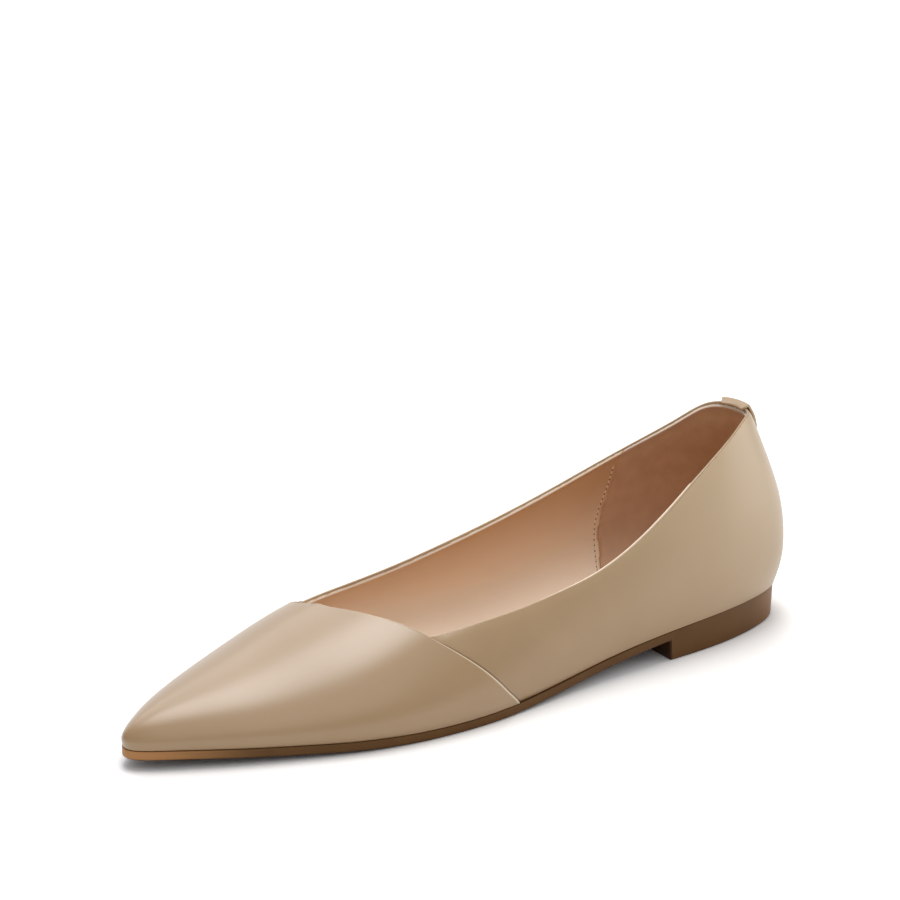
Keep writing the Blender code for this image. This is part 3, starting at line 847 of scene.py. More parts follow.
@dataclass(frozen=True)
class Vamp:
    """Front panel over the quarters, with a cut edge along the slanting seam on each side, a painted
    highlight along that edge and painted shade on a thin ledge behind it.
    """

    last: Last
    inner_step: float = -0.05
    outer_step: float = -0.95
    rim: float = 0.30
    # Lighter finished edge with a painted highlight along the seam: its width and its fade
    cut_and_highlight_line: float = 0.55
    cut_and_highlight_fade: float = 0.35
    ledge_step: float = -0.08
    # Ledge: a thin strip behind the seam that carries painted shade; its distances back, its rise, and its
    # tone from painted highlight to painted shade
    ledge: tuple[float, ...] = (0.0, 0.05, 0.08, 0.1, 0.4, 0.7, 0.85, 1.0, 1.15, 1.4)
    ledge_rise: tuple[float, ...] = (1.0, 0.85, 0.5, 0.0, 0.0, 0.0, 0.0, 0.0, 0.0, 0.0)
    ledge_highlight_and_shade: tuple[float, ...] = (1.0, 1.0, 0.0, -0.6, -0.6, -0.5, -0.35, -0.2, -0.1, 0.0)
    ledge_dip: float = 0.07
    ledge_power: float = 24.0
    seam_feet: tuple[float, float] = (124.5, 140.0)
    front_columns: int = 60
    throat_columns: int = 44
    throat_end: float = 0.95
    seam_columns: tuple[float, ...] = (0.965, 0.975, 0.983, 0.988, 0.992, 0.996, 1.0)
    wall_rows: int = 44
    wall_power: float = 1.2
    rim_steps: int = 8

    def grid(self, opening: Opening, inset: float, ledge_step: float) -> tuple[Array, Array, int]:
        """One skin, from toe to seam and ledge, and from the feather edge to ridge or throat.

        Columns behind the apex lean towards the seam: the lean grows as the square of the way to the
        corner and fades from the feather edge up to the panel's edge. The ledge, a thin strip that carries
        painted shade, drops from the seam to the quarter and runs a little way back over it; its top dips
        below the quarter's edge.

        Args:
            opening: Edge of this layer.
            inset: Step in from the outside of the upper.
            ledge_step: The same step on the ledge.

        Returns:
            Grid of both halves, its edge tone (a lighter edge with a painted highlight along the seam,
            painted shade on the ledge), and the apex column.
        """
        apex, corner = opening.apex_angle(), opening.corner_angles()
        way = np.r_[np.linspace(0.0, self.throat_end, self.throat_columns), self.seam_columns]
        front = np.linspace(0.0, apex, self.front_columns, endpoint=False)
        front = np.broadcast_to(front, (2, self.front_columns))
        top = np.concatenate((front, apex + (corner - apex) * way), axis=1)
        foot = self.last.angle(np.array(self.seam_feet))[:, None]
        nearness = np.clip((top - apex) / (corner - apex), 0.0, 1.0) ** 2
        shares = np.linspace(0.0, 1.0, self.wall_rows) ** self.wall_power
        levels = level_rows(opening.edge(top, inset), shares)
        angle = top[..., None] + ((foot - corner) * nearness)[..., None] * (1.0 - levels / levels[..., -1:])
        station = self.last.station(angle)
        # Lighter finished edge with a painted highlight near the seam
        tone = smooth((self.cut_and_highlight_line + self.cut_and_highlight_fade - station + station[:, -1:]) / self.cut_and_highlight_fade)
        back, rise, shade = (np.array(row)[:, None] for row in (self.ledge, self.ledge_rise, self.ledge_highlight_and_shade))
        near = (levels[:, -1:] / levels[:, -1:, -1:]) ** self.ledge_power
        ledge = levels[:, -1:] * (1.0 - self.ledge_dip * near * (1.0 - rise))
        levels = np.concatenate((levels, ledge), axis=1)
        angle = self.last.angle(np.concatenate((station, station[:, -1:] - back), axis=1))
        step = np.concatenate((np.full((top.shape[1], 1), inset), ledge_step + (inset - ledge_step) * rise))
        tone = np.concatenate((tone, np.broadcast_to(shade, (2, *shade.shape[:1], levels.shape[-1]))), axis=1)
        return self.last.point(opening.swept(angle, levels), levels, SIDES, step), tone, self.front_columns

    def build(self, dresser: Dresser) -> None:
        """Mesh of the panel, closed all round by its throat, ledges and feather edge.

        The edge tone round the throat is a half sine from skin to skin.

        Args:
            dresser: Puts the piece on the shoe.
        """
        opening = Opening(self.last, forward=self.rim)
        outer, tone, apex = self.grid(opening, self.outer_step, self.ledge_step)
        inner, _, _ = self.grid(opening, self.inner_step, self.inner_step)
        columns, rows = outer.shape[1:3]
        loop, throat = front_loop(columns, rows, apex, len(self.ledge))
        bulge = np.where(throat, self.rim, 0.0)
        surface = Surface()
        surface.add_grid(outer, tone)
        surface.add_grid(inner)
        rim_tone = np.where(throat[:, None], np.sin(np.linspace(0.0, np.pi, self.rim_steps + 1)), 0.0)
        surface.add_rim(outer, inner, loop, bulge, CUT_EDGE, rim_tone, rows=self.rim_steps)
        dresser.dress(surface.build("vamp_leather"), VAMP_LEATHER, "panel_leather", "vamp_panel")


def front_loop(columns: int, rows: int, apex: int, ledge: int = 0) -> tuple[Loop, Array]:
    """Boundary of a front patch: feather edge, seam and throat on the lateral side, then the medial ones.

    Args:
        columns: Columns of each half, toe to seam.
        rows: Rows, feather edge to top.
        apex: Column where the throat leaves the ridge.
        ledge: Columns at the end whose top is no part of the throat.

    Returns:
        The loop, and where it runs along the throat.
    """
    last, top = columns - 1, rows - 1
    feather, seam = np.arange(last), np.arange(top)
    beside = np.clip(seam, 1, top - 1)
    throat = np.arange(last, apex, -1)
    runs = [
        (0, feather, 0, feather, 1), (0, last, seam, last - 1, beside),
        (0, throat, top, np.minimum(throat, last - 1), top - 1), (0, np.array([apex]), top, apex - 1, top),
        (1, throat[::-1], top, np.minimum(throat[::-1], last - 1), top - 1),
        (1, last, seam[::-1], last - 1, beside[::-1]), (1, feather[:0:-1], 0, feather[:0:-1], 1),
    ]
    open_edge = throat <= last - ledge
    kinds = (feather < 0, seam < 0, open_edge, [True], open_edge[::-1], seam < 0, feather[1:] < 0)
    return loop_of(*runs), np.concatenate(kinds)


@dataclass(frozen=True)
class Linings:
    """Smooth front lining and suede heel lining, joined by a stitched seam on each side."""

    last: Last
    outside: float = 1.05
    front_inside: float = 1.60
    heel_inside: float = 1.38
    forward: float = 1.3
    butt_turn: float = 0.0012
    edge_rim: float = 0.12
    side_rims: tuple[float, float] = (0.03, 0.0)
    edge_band: float = 0.05
    edge_fade: float = 0.22
    edge_thick: float = 0.8
    edge_half: float = 0.35
    edge_return: float = 2.0
    # Painted light towards the insole, on the front lining and on the heel lining, and the height it fades
    # out by
    foot_highlight: tuple[float, float] = (1.0, 0.25)
    foot_highlight_height: float = 39.0
    edge_rows: tuple[float, ...] = (
        2.4, 1.9, 1.5, 1.2, 1.0, 0.8, 0.65, 0.5, 0.4, 0.3, 0.2, 0.1, 0.05, 0.02, 0.0)
    edge_steps: int = 6
    wall_rows: int = 38
    wall_power: float = 1.7
    apex_column: int = 36
    throat_columns: int = 20
    side_columns: int = 84
    back_columns: int = 60
    seam_start: float = 0.62
    seam_steps: int = 12
    sock_height: float = 2.0
    hollow: tuple[float, float] = (11.0, 18.0)
    hollow_share: tuple[float, float] = (0.36, 0.62)

    def opening(self) -> Opening:
        """Edge of the lining round the opening."""
        return Opening(self.last, forward=self.forward, lining_edge=True)

    def seam_angle(self, level: Array) -> Array:
        """Angle of the seam at a level."""
        return self.last.angle(spline(LINING_SEAM[:, 0], LINING_SEAM[:, 1], level))

    def seam_top(self, inset: float) -> Array:
        """Angle where the seam meets the lining's edge on each side, by a few steps of substitution.

        Args:
            inset: Step in from the outside of the upper.

        Returns:
            One angle for each side.
        """
        angle = np.full((2, 1), float(self.seam_angle(np.array(self.seam_start))))
        for _ in range(self.seam_steps):
            angle = self.seam_angle(self.opening().edge(angle, inset))
        return angle

    def hollow_radius(self, angle: Array, side: Array) -> Array:
        """Radius of the hollow between wall and insole: a share of the half width up to a largest size."""
        largest, share = (np.where(side > 0.0, *pair) for pair in (self.hollow, self.hollow_share))
        return np.minimum(largest, share * self.last.by_side("", angle, side))

    def hollowed(self, angle: Array, levels: Array, side: Array, inset: float) -> Array:
        """Inset that eases the wall into the insole by a quarter circle above the insole's top.

        Args:
            angle: Angles.
            levels: Levels of the same shape.
            side: 1 on the lateral side, -1 on the medial side.
            inset: Inset of the wall above the quarter circle.

        Returns:
            Insets of the same shape.
        """
        radius = self.hollow_radius(angle, side)
        near = np.clip(radius + self.sock_height - levels * self.last.rise(angle, inset), 0.0, radius)
        return inset + radius - np.sqrt(radius**2 - near**2)

    def skin(self, angle: Array, edge: Array, levels: Array, inset: float,
             pale: float) -> tuple[Array, Array]:
        """Points of the inner skin, hollowed, thickened to a bead along its edge, and its edge tone.

        The bead is a quarter circle below the edge that then returns to the wall. The tone is full at the
        edge and fades out below a narrow band; it comes back towards the insole as painted light on the
        hollow.

        Args:
            angle: Angles of both halves.
            edge: Levels of the edge.
            levels: Levels of the rows.
            inset: Step in from the outside of the upper.
            pale: Edge tone at the insole, painted light.

        Returns:
            Grid of both halves and its tone.
        """
        rise = self.last.rise(angle, inset)
        below = (edge[..., None] - levels) * rise
        band = smooth((self.edge_band + self.edge_fade - below) / self.edge_fade)
        bead = np.sqrt(1.0 - np.clip(1.0 - below / self.edge_half, 0.0, 1.0) ** 2)
        bead = bead * smooth(1.0 - (below - self.edge_half) / self.edge_return)
        step = self.hollowed(angle, levels, SIDES, inset) + self.edge_thick * bead
        # Painted light where the lining curves into the insole
        foot = pale * smooth(1.0 - (levels * rise - self.sock_height) / self.foot_highlight_height)
        points = self.last.point(self.opening().swept(angle, levels), levels, SIDES, step)
        return points, np.maximum(band, foot)

    def leaned(self, top: Array, share: Array, inset: float) -> tuple[Array, Array, Array]:
        """Columns that lean to follow the seam.

        The lean is the seam's angle at each level less its angle at the edge, times the square of a share.

        Args:
            top: Angles of the columns at the edge, one row for each side.
            share: Share of the lean that each column takes.
            inset: Step in from the outside of the upper.

        Returns:
            Angles, levels of the edge and levels of the rows.
        """
        edge, levels, _ = self.opening().rows(top, inset, self.shares(), np.array(self.edge_rows))
        lean = self.seam_angle(levels) - self.seam_angle(edge)[..., None]
        return top[..., None] + lean * np.clip(share, 0.0, 1.0)[..., None] ** 2, edge, levels

    def front_columns(self, inset: float) -> tuple[Array, Array, Array]:
        """Columns of the front lining from the toe over the throat to the seam.

        Args:
            inset: Step in from the outside of the upper.

        Returns:
            Angles, levels of the edge and levels of the rows, as leaned columns.
        """
        opening = self.opening()
        apex, corner, seam = opening.apex_angle(), opening.corner_angles(), self.seam_top(inset)
        front = np.linspace(0.0, apex, self.apex_column, endpoint=False)
        front = np.broadcast_to(front, (2, self.apex_column))
        throat = apex + (corner - apex) * np.linspace(0.0, 1.0, self.throat_columns, endpoint=False)
        side = corner + (seam - corner) * np.linspace(0.0, 1.0, self.side_columns)
        top = np.concatenate((front, throat, side), axis=1)
        return self.leaned(top, (top - corner) / (seam - corner), inset)

    def heel_columns(self, inset: float) -> tuple[Array, Array, Array]:
        """Columns of the heel lining from just behind the seam round to the back.

        Args:
            inset: Step in from the outside of the upper.

        Returns:
            Angles, levels of the edge and levels of the rows, as leaned columns.
        """
        seam = self.seam_top(inset) + self.butt_turn
        top = seam + (np.pi - seam) * np.linspace(0.0, 1.0, self.back_columns)
        return self.leaned(top, (np.pi - top) / (np.pi - seam), inset)

    def back(self, columns: tuple[Array, Array, Array]) -> Array:
        """Grid of the outer skin, which lies against the leather."""
        angle, _, levels = columns
        return self.last.point(self.opening().swept(angle, levels), levels, SIDES, self.outside)

    def shares(self) -> Array:
        """Shares of the way up the wall, close together in the hollow."""
        return np.linspace(0.0, 1.0, self.wall_rows, endpoint=False) ** self.wall_power

    def build(self, dresser: Dresser) -> None:
        """Meshes of both linings, each between an outer and an inner skin with a rounded edge.

        Args:
            dresser: Puts the pieces on the shoe.
        """
        patches = zip(
            ("lining_front", "lining_heel"), (LINING, SUEDE), (self.front_columns, self.heel_columns),
            (self.front_inside, self.heel_inside), self.foot_highlight, self.side_rims,
            (partial(front_loop, apex=self.apex_column), heel_loop),
        )
        for name, finish, columns, inset, pale, side_rim, boundary in patches:
            outer = self.back(columns(self.outside))
            inner, tone = self.skin(*columns(inset), inset, pale)
            surface = Surface()
            surface.add_grid(outer)
            surface.add_grid(inner, tone)
            loop, open_edge = boundary(*outer.shape[1:3])
            bulge = np.where(open_edge, self.edge_rim, side_rim)
            surface.add_rim(outer, inner, loop, bulge, CUT_EDGE, 1.0, rows=self.edge_steps)
            dresser.dress(surface.build(name), finish, "lining")


def heel_loop(columns: int, rows: int) -> tuple[Loop, Array]:
    """Boundary of a patch round the heel: under the lateral side and the medial one, up, over and down.

    Args:
        columns: Columns of each half, seam to back.
        rows: Rows, feather edge to top.

    Returns:
        The loop, and where it runs along the top.
    """
    last, top = columns - 1, rows - 1
    out, home, rise = np.arange(columns), np.arange(last - 1, -1, -1), np.arange(1, top)
    runs = [
        (0, out, 0, np.maximum(out, 1), 1), (1, home, 0, np.maximum(home, 1), 1), (1, 0, rise, 1, rise),
        (1, out, top, np.maximum(out, 1), top - 1), (0, home, top, np.maximum(home, 1), top - 1),
        (0, 0, rise[::-1], 1, rise[::-1]),
    ]
    kind = np.repeat((0, 0, 0, 1, 1, 0), (columns, last, len(rise), columns, last, len(rise)))
    return loop_of(*runs), kind == 1


def sample(rows: Array, reach: Array, places: Array) -> Array:
    """Rows of a line read at distances along it.

    Args:
        rows: One row of x, y, z for each point of the line.
        reach: Distance of each point along the line.
        places: Distances to read at.

    Returns:
        One row for each place.
    """
    return np.stack([np.interp(places, reach, rows[:, axis]) for axis in range(3)], axis=1)


@dataclass(frozen=True)
class SeamStitches:
    """Row of stitches that holds the front lining over the heel lining, with painted shade for a needle hole
    at each end.
    """

    linings: Linings
    pitch: float = 1.9
    length: float = 1.25
    thick: float = 0.55
    back: float = 1.9
    hole: float = 0.6
    low: float = 0.05
    high: float = 0.60
    flatness: float = 0.7
    hole_half: float = 0.06
    samples: int = 400
    probe: float = 0.5

    def path(self, side: float) -> tuple[Array, Array, Array]:
        """Places along the row at even pitch, their directions and the wall's inward normals.

        Args:
            side: 1 on the lateral side, -1 on the medial side.

        Returns:
            Points, unit tangents and unit normals.
        """
        last, side = self.linings.last, np.array(side)
        level = np.linspace(self.low, self.high, self.samples)
        station = last.station(self.linings.seam_angle(level)) + self.back
        angle = last.angle(station)
        inset = self.linings.hollowed(angle, level, side, self.linings.front_inside)
        line = last.point(angle, level, side, inset)
        reach = np.r_[0.0, np.cumsum(np.linalg.norm(np.diff(line, axis=0), axis=1))]
        places = np.arange(self.pitch / 2.0, reach[-1], self.pitch)
        deep = last.point(angle, level, side, inset + self.probe)
        tangent = unit(sample(np.gradient(line, axis=0), reach, places))
        inward = sample(deep - line, reach, places)
        return sample(line, reach, places), tangent, unit(inward - along(inward, tangent))

    @staticmethod
    def beads(centre: Array, along_axis: Array, out_axis: Array, sizes: tuple[float, float, float],
              rings: int = 6, ribs: int = 9) -> Array:
        """Ellipsoids: centre plus each axis times its half size, by a polar and a round angle.

        Args:
            centre: Centres.
            along_axis: Unit directions of the first half size.
            out_axis: Unit directions of the third half size.
            sizes: Half sizes along, across and out.
            rings: Steps of the polar angle, poles included.
            ribs: Steps of the round angle, both ends included.

        Returns:
            Grids of points, one for each centre.
        """
        polar = np.linspace(0.0, np.pi, rings)[:, None]
        turn = np.linspace(0.0, 2.0 * np.pi, ribs)[None, :]
        across = np.cross(out_axis, along_axis)
        parts = ((along_axis, np.cos(polar) + 0.0 * turn, sizes[0]),
                 (across, np.sin(polar) * np.cos(turn), sizes[1]),
                 (out_axis, np.sin(polar) * np.sin(turn), sizes[2]))
        return centre[:, None, None] + sum(
            axis[:, None, None] * (shape * size)[None, :, :, None] for axis, shape, size in parts)

    def build(self, dresser: Dresser) -> None:
        """Meshes of the threads and of the painted shade in the needle holes between them.

        Args:
            dresser: Puts the pieces on the shoe.
        """
        threads, hole_shades = Surface(), Surface()
        half = self.thick / 2.0
        thread_sizes = (self.length / 2.0, half, half * self.flatness)
        hole_sizes = (self.hole / 2.0, half, self.hole_half)
        for side in Side:
            near, tangent, inward = self.path(side.value)
            threads.add_grid(self.beads(near, tangent, inward, thread_sizes))
            between = (near[:-1] + near[1:]) / 2.0
            hole_shades.add_grid(self.beads(between, tangent[1:], inward[1:], hole_sizes))
        dresser.dress(threads.build("lining_thread"), THREAD, "lining")
        dresser.dress(hole_shades.build("lining_hole_shades"), NEEDLE_HOLE_SHADE, "lining")


@dataclass(frozen=True)
class Sock:
    """Insole with a softly rounded edge, following the top of the sole."""

    linings: Linings
    wall: float = 1.78
    thickness: float = 2.0
    round_edge: float = 0.25
    ribs: int = 150
    edge_steps: int = 6
    under_spread: tuple[float, ...] = (0.0, 0.5, 0.9, 1.0)
    over_spread: tuple[float, ...] = (0.985, 0.95, 0.85, 0.6, 0.3, 0.0)

    def build(self, dresser: Dresser) -> None:
        """Mesh of the insole: each half runs from the middle of the underside round the edge to the top.

        Args:
            dresser: Puts the piece on the shoe.
        """
        angle = np.linspace(0.0, np.pi, self.ribs)
        turn = np.linspace(0.0, np.pi / 2.0, self.edge_steps)
        under, over = np.zeros(len(self.under_spread)), np.ones(len(self.over_spread))
        spread = np.r_[self.under_spread, np.ones(self.edge_steps), self.over_spread]
        step = np.r_[under, self.round_edge * (1.0 - np.cos(turn)), self.round_edge * over]
        up = self.thickness - self.round_edge * (1.0 - np.sin(turn))
        rise = np.r_[under, up, self.thickness * over]
        last = self.linings.last
        hollow = self.linings.hollow_radius(angle[None, :, None], SIDES)
        grid = slab(last, angle, spread, self.wall + hollow + step,
                    last.column("feather_z", angle)[:, None] + rise, self.thickness)
        surface = Surface()
        surface.add_grid(grid)
        dresser.dress(surface.build("insole_sock"), SOCK, "lining", "insole")


def slab(last: Last, angle: Array, spread: Array, inset: Array, height: Array, lift: float = 0.0) -> Array:
    """Two halves of a slab: each row lies a spread of the way from the middle line to a stepped outline.

    Args:
        last: The last.
        angle: Angle of each rib.
        spread: Share of the way from the middle line to the outline, for each row.
        inset: Step in from the feather edge, ribs by rows.
        height: Height, ribs by rows.
        lift: Height over the feather edge where the outline is taken.

    Returns:
        Grid of halves, ribs and rows.
    """
    shape = (2, len(angle), len(spread))
    ribs = np.broadcast_to(angle[None, :, None], shape)
    outline = last.point(ribs, lift / last.rise(ribs, 0.0), SIDES, np.broadcast_to(inset, shape))
    middle = (outline[:1] + outline[1:]) / 2.0
    grid = middle + (outline - middle) * spread[:, None]
    grid[..., 2] = height
    return grid


@dataclass(frozen=True)
class Outsole:
    """Sole and heel moulded as one, with rounded edges and a crisp heel breast."""

    last: Last
    seat_gap: float = 0.1
    thickness: float = 3.4
    # Painted shade underneath and along the seat of the upper
    under_shade: float = 0.85
    seat_shade: float = 0.6
    pale_from: float = 213.0
    pale_span: float = 45.0
    # Painted highlight on the wall at the back of the heel
    heel_highlight: float = 0.35
    heel_highlight_reach: float = 26.0
    breast: float = 56.5
    breast_slant: float = 1.0
    heel_taper: float = 0.5
    low_round: float = 0.8
    top_round: float = 0.35
    crisp_degrees: float = 40.0
    near_breast: tuple[float, float] = (60.5, 54.5)
    rib_counts: tuple[int, int, int] = (120, 36, 56)
    row_counts: tuple[int, int, int] = (7, 6, 5)
    under_spread: tuple[float, ...] = (0.0, 0.4, 0.75, 0.93)
    over_spread: tuple[float, ...] = (0.97, 0.8, 0.4, 0.0)
    pale_top: tuple[float, ...] = (1.0, 1.0, 0.5, 0.0, 0.0)
    shade_top: tuple[float, ...] = (0.0, 0.0, 0.4, 1.0, 1.0)

    def ribs(self) -> Array:
        """Angles of the ribs, close together over the breast.

        Returns:
            Angles from the toe to the back of the heel.
        """
        (start, end), (front, across, heel) = self.near_breast, self.rib_counts
        start_angle, end_angle = float(self.last.angle(start)), float(self.last.angle(end))
        return np.concatenate((
            np.linspace(0.0, start_angle, front, endpoint=False),
            self.last.angle(np.linspace(start, end, across)),
            np.linspace(end_angle, np.pi, heel)[1:],
        ))

    def build(self, dresser: Dresser) -> None:
        """Mesh of the sole: each half runs from the middle of the underside up the edge to the middle on top.

        The underside lies a thickness below the top in front of the breast and on the floor behind it,
        joined by a smooth step over the slant. Both edges are quarter circles. The edge tone is a paler
        rubber on the wall towards the toe and a painted highlight on the wall at the back, with painted
        shade underneath and where the upper sits.

        Args:
            dresser: Puts the piece on the shoe.
        """
        angle = self.ribs()
        station = self.last.station(angle)
        heel = smooth((self.breast + self.breast_slant - station) / self.breast_slant)[:, None]
        top = (self.last.column("feather_z", angle) - self.seat_gap)[:, None]
        low = np.clip(top - self.thickness, 0.0, None) * (1.0 - heel)
        low_count, wall_count, top_count = self.row_counts
        turn, rolled = (np.linspace(0.0, np.pi / 2.0, count) for count in (low_count, top_count))
        wall = np.linspace(0.0, 1.0, wall_count + 2)[1:-1]
        under, over = np.ones(len(self.under_spread)), np.ones(len(self.over_spread))
        spread = np.r_[self.under_spread, np.ones(sum(self.row_counts)), self.over_spread]
        step = np.r_[self.low_round * under, self.low_round * (1.0 - np.sin(turn)), 0.0 * wall,
                     self.top_round * (1.0 - np.cos(rolled)), self.top_round * over]
        above = np.r_[0.0 * under, self.low_round * (1.0 - np.cos(turn)),
                      self.low_round * (1.0 - wall) - self.top_round * wall,
                      self.top_round * (np.sin(rolled) - 1.0), 0.0 * over]
        share = np.r_[0.0 * under, 0.0 * turn, wall, np.ones(top_count), over]
        height = low + (top - low) * share + above
        taper = self.heel_taper * heel * (1.0 - np.clip((height - low) / (top - low), 0.0, 1.0))
        margin = self.last.column("sole_margin", angle)[:, None]
        toe_pale = smooth((station - self.pale_from) / self.pale_span)
        # Paler rubber towards the toe, and a painted highlight towards the back
        pale = (toe_pale + self.heel_highlight * smooth(1.0 - station / self.heel_highlight_reach))[:, None]
        up = np.linspace(0.0, 1.0, low_count)
        pale_rows = np.r_[0.0 * under, up, np.ones(wall_count), self.pale_top, 0.0 * over]
        under_rows = np.r_[under, up[::-1], 0.0 * wall, np.zeros(top_count), 0.0 * over]
        seat_rows = np.r_[0.0 * under, 0.0 * up, 0.0 * wall, self.shade_top, over] * (1.0 - pale)
        surface = Surface()
        surface.add_grid(slab(self.last, angle, spread, step + taper - margin, height),
                         pale * pale_rows - self.under_shade * under_rows - self.seat_shade * seat_rows)
        dresser.dress(surface.build("sole_rubber", self.crisp_degrees), RUBBER, "rubber", "outsole")


@dataclass(frozen=True)
class BackTab:
    """Narrow leather strip folded over the collar beside the back seam and bowed out below it.

    Its fold presses into the soft edge of the collar, so the gap on top is less than nothing.
    """

    last: Last
    centre: float = 0.08
    half_angle: float = 0.15
    outside: float = 8.5
    inside: float = 0.6
    thick: float = 0.8
    gap: float = 0.1
    top_gap: float = -0.65
    bow: float = 0.5
    sink: float = 0.4
    squareness: float = 3.0
    wall: float = 1.6
    probe: float = 0.01
    edge_round: float = 0.12
    edge_tone: float = 0.8
    columns: int = 25
    row_counts: tuple[int, int, int] = (16, 21, 5)

    def middle(self, turn: Array, drop: Array | float) -> Array:
        """Points half-way through the wall.

        Args:
            turn: Turns from the back seam, below 0 on the lateral side.
            drop: Distance below the collar.

        Returns:
            Points in millimetres.
        """
        side = np.where(turn < 0.0, Side.LATERAL.value, Side.MEDIAL.value)
        angle, inset = np.pi - np.abs(turn), self.wall / 2.0
        height = self.last.collar(angle, side) - drop
        return self.last.point(angle, self.last.level(height, angle, inset), side, inset)

    def outward(self, turn: Array, drop: Array | float) -> Array:
        """Unit normals of the wall, pointing out of the shoe.

        Args:
            turn: Turns from the back seam, below 0 on the lateral side.
            drop: Distance below the collar.

        Returns:
            Unit vectors.
        """
        across = self.middle(turn + self.probe, drop) - self.middle(turn - self.probe, drop)
        down = self.middle(turn, drop + self.probe) - self.middle(turn, drop)
        return unit(np.cross(down, across))

    def sheet(self, turn: Array, depth: float) -> Array:
        """Lines at one depth through the strip: up outside, square over the collar, down inside.

        The leg outside stands off the wall by its reach plus a bow, a half sine from the fold to its end.
        The fold is half a superellipse: the reach times the cosine and the height times the sine, each to
        the power of two over the squareness.

        Args:
            turn: Turns from the back seam, one column.
            depth: Depth through the strip from its inner face.

        Returns:
            Grid of points, turns by steps along the strip.
        """
        reach = self.wall / 2.0 + self.gap + depth
        out_rows, fold_rows, in_rows = self.row_counts
        share = np.linspace(1.0, 0.0, out_rows, endpoint=False)[None, :]
        outer = self.sink + (self.outside - self.sink) * share
        inner = np.linspace(self.sink, self.inside, in_rows)[None, 1:]
        bend, power = np.linspace(0.0, np.pi, fold_rows)[None, :, None], 2.0 / self.squareness
        up = unit(self.middle(turn, 0.0) - self.middle(turn, self.probe)) * (self.sink + self.top_gap + depth)
        across = reach * np.sign(np.cos(bend)) * np.abs(np.cos(bend)) ** power
        stand = (reach + self.bow * np.sin(np.pi * share))[..., None]
        rising = self.middle(turn, outer) + stand * self.outward(turn, outer)
        over = self.middle(turn, self.sink) + across * self.outward(turn, self.sink)
        over = over + np.abs(np.sin(bend)) ** power * up
        falling = self.middle(turn, inner) - reach * self.outward(turn, inner)
        return np.concatenate((rising, over, falling), axis=1)

    def build(self, dresser: Dresser) -> None:
        """Mesh of the strip, with softly rounded cut edges all round.

        Args:
            dresser: Puts the piece on the shoe.
        """
        turn = self.centre + np.linspace(-self.half_angle, self.half_angle, self.columns)[:, None]
        inner, outer = self.sheet(turn, 0.0)[None], self.sheet(turn, self.thick)[None]
        columns, rows = outer.shape[1:3]
        last, top = columns - 1, rows - 1
        out, rise = np.arange(last), np.arange(top)
        home, fall = out[::-1] + 1, rise[::-1] + 1
        loop = loop_of((0, out, 0, np.maximum(out, 1), 1), (0, last, rise, last - 1, np.maximum(rise, 1)),
                       (0, home, top, np.minimum(home, last - 1), top - 1),
                       (0, 0, fall, 1, np.minimum(fall, top - 1)))
        surface = Surface()
        surface.add_grid(outer)
        surface.add_grid(inner)
        surface.add_rim(outer, inner, loop, self.edge_round, CUT_EDGE, self.edge_tone)
        dresser.dress(surface.build("heel_tab"), TAB_LEATHER, "tab_leather", "back_tab")


@dataclass(frozen=True)
class Softbox:
    """One large soft light: where it stands, what it looks at, its size in metres and its power."""

    name: str
    place: tuple[float, float, float]
    target: tuple[float, float, float]
    size: tuple[float, float]
    power: float

    def hang(self) -> None:
        """Area light turned to its target."""
        light = bpy.data.lights.new(self.name, "AREA")
        light.shape = "RECTANGLE"
        light.size, light.size_y = self.size
        light.energy = self.power
        thing = bpy.data.objects.new(self.name, light)
        thing.location = self.place
        way = Vector(self.target) - Vector(self.place)
        thing.rotation_euler = way.to_track_quat("-Z", "Y").to_euler()
        bpy.context.scene.collection.objects.link(thing)


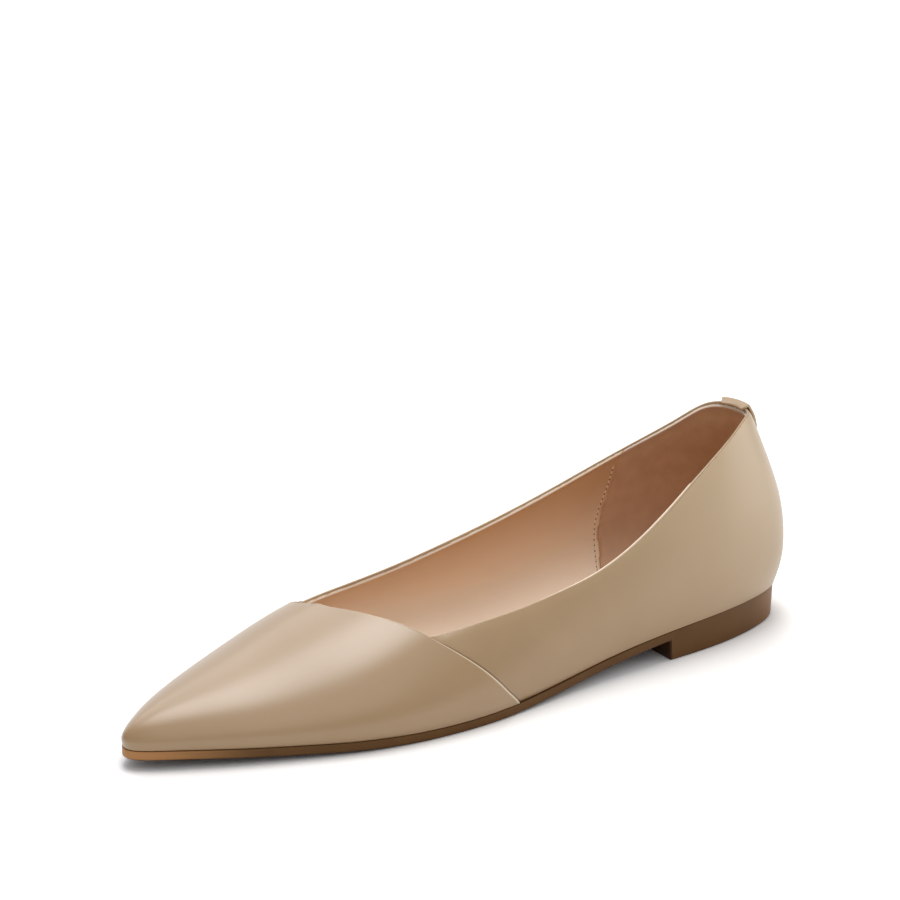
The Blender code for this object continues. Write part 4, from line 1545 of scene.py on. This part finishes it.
@dataclass(frozen=True)
class Studio:
    """Pale floor, soft light and the camera."""

    swing_deg: float = 34.0
    rise_deg: float = 23.2
    distance: float = 2600.0
    pixels_per_mm: float = 3.026
    aim: tuple[float, float, float] = (130.0, 0.0, 20.0)
    aim_pixel: tuple[float, float] = (449.4, 625.2)
    image: float = 900.0
    sensor: float = 36.0
    far_end: float = 100.0
    floor_half: float = 6.0
    floor_lines: int = 9
    floor_roughness: float = 0.8
    floor_specular: float = 0.1
    floor_bounce: float = 0.93
    floor_seen: float = 1.2
    ambient: float = 0.34
    boxes: tuple[Softbox, ...] = (
        Softbox("top_box", (-0.08, -0.14, 1.5), (-0.08, -0.14, 0.0), (0.60, 0.94), 11.0),
        Softbox("heel_box", (-1.0, 0.40, 0.35), (0.0, 0.0, 0.05), (0.7, 0.7), 2.3),
        Softbox("back_box", (-0.35, -0.97, 1.22), (0.0, 0.0, 0.05), (1.2, 0.8), 5.2),
        Softbox("backdrop_box", (-0.4, -1.4, 0.62), (0.0, 0.0, 0.05), (2.0, 1.3), 5.5),
        Softbox("camera_box", (0.15, 1.05, 1.2), (0.0, 0.0, 0.05), (1.0, 1.0), 2.9),
        Softbox("low_box", (0.75, 0.85, 0.10), (0.08, 0.0, 0.0), (1.2, 0.16), 0.6),
    )

    def camera(self) -> None:
        """Camera that puts the aim on its pixel: it stands back from the aim and looks a little past it."""
        swing, rise = math.radians(self.swing_deg), math.radians(self.rise_deg)
        back = Vector((math.sin(swing) * math.cos(rise), math.cos(swing) * math.cos(rise), math.sin(rise)))
        right = (-back).cross(Vector((0.0, 0.0, 1.0))).normalized()
        up = right.cross(-back)
        aim = (Vector(self.aim) + Vector(FRAME_SHIFT)) * MM
        across = (self.image / 2.0 - self.aim_pixel[0]) / self.pixels_per_mm * MM
        rising = (self.aim_pixel[1] - self.image / 2.0) / self.pixels_per_mm * MM
        stand = aim + back * self.distance * MM
        look = (aim + right * across + up * rising - stand).normalized()
        eye = bpy.data.objects.new("camera", bpy.data.cameras.new("camera"))
        side = look.cross(Vector((0.0, 0.0, 1.0))).normalized()
        frame_axes = Matrix((side, side.cross(look), -look)).transposed()
        eye.matrix_world = Matrix.Translation(stand) @ frame_axes.to_4x4()
        eye.data.lens = self.pixels_per_mm * self.distance * self.sensor / self.image
        eye.data.sensor_width = self.sensor
        eye.data.clip_end = self.far_end
        bpy.context.scene.collection.objects.link(eye)
        bpy.context.scene.camera = eye

    def floor(self) -> None:
        """Flat pale floor: a grid in x and y at the height of the sole."""
        half = np.linspace(-self.floor_half, self.floor_half, self.floor_lines)
        x, y = np.meshgrid(half, half, indexing="ij")
        grid = np.stack((x, y, np.zeros_like(x)), axis=-1)
        index = np.arange(x.size).reshape(x.shape)
        quads = np.stack((index[:-1, :-1], index[1:, :-1], index[1:, 1:], index[:-1, 1:]), axis=-1)
        mesh = bpy.data.meshes.new("floor")
        mesh.from_pydata(grid.reshape(-1, 3), [], quads.reshape(-1, 4).tolist())
        material = bpy.data.materials.new("pale_floor")
        material.use_nodes = True
        nodes, links = material.node_tree.nodes, material.node_tree.links
        shader = nodes["Principled BSDF"]
        shader.inputs["Roughness"].default_value = self.floor_roughness
        shader.inputs["Specular IOR Level"].default_value = self.floor_specular
        seen, tone = nodes.new("ShaderNodeLightPath"), nodes.new("ShaderNodeMapRange")
        tone.inputs["To Min"].default_value = self.floor_bounce
        tone.inputs["To Max"].default_value = self.floor_seen
        links.new(seen.outputs["Is Camera Ray"], tone.inputs["Value"])
        links.new(tone.outputs["Result"], shader.inputs["Base Color"])
        mesh.materials.append(material)
        thing = bpy.data.objects.new("floor", mesh)
        bpy.context.scene.collection.objects.link(thing)

    def light(self) -> None:
        """Even pale surroundings and the soft boxes."""
        world = bpy.data.worlds.new("studio")
        world.use_nodes = True
        shader = world.node_tree.nodes["Background"]
        shader.inputs["Color"].default_value = (1.0, 1.0, 1.0, 1.0)
        shader.inputs["Strength"].default_value = self.ambient
        bpy.context.scene.world = world
        for box in self.boxes:
            box.hang()

    def build(self) -> None:
        """Set everything up; colours go to the screen as they are."""
        bpy.context.scene.view_settings.view_transform = "Standard"
        self.camera()
        self.floor()
        self.light()


def main() -> None:
    """Build the studio and the shoe's pieces in order."""
    logging.basicConfig(level=logging.INFO, format="%(message)s")
    Studio().build()
    last, dresser = Last(), Dresser(ShaderGroups())
    linings = Linings(last)
    pieces = (Outsole(last), Quarters(last), Vamp(last), linings, SeamStitches(linings), Sock(linings),
              BackTab(last))
    for piece in pieces:
        piece.build(dresser)


if __name__ == "__main__":
    main()
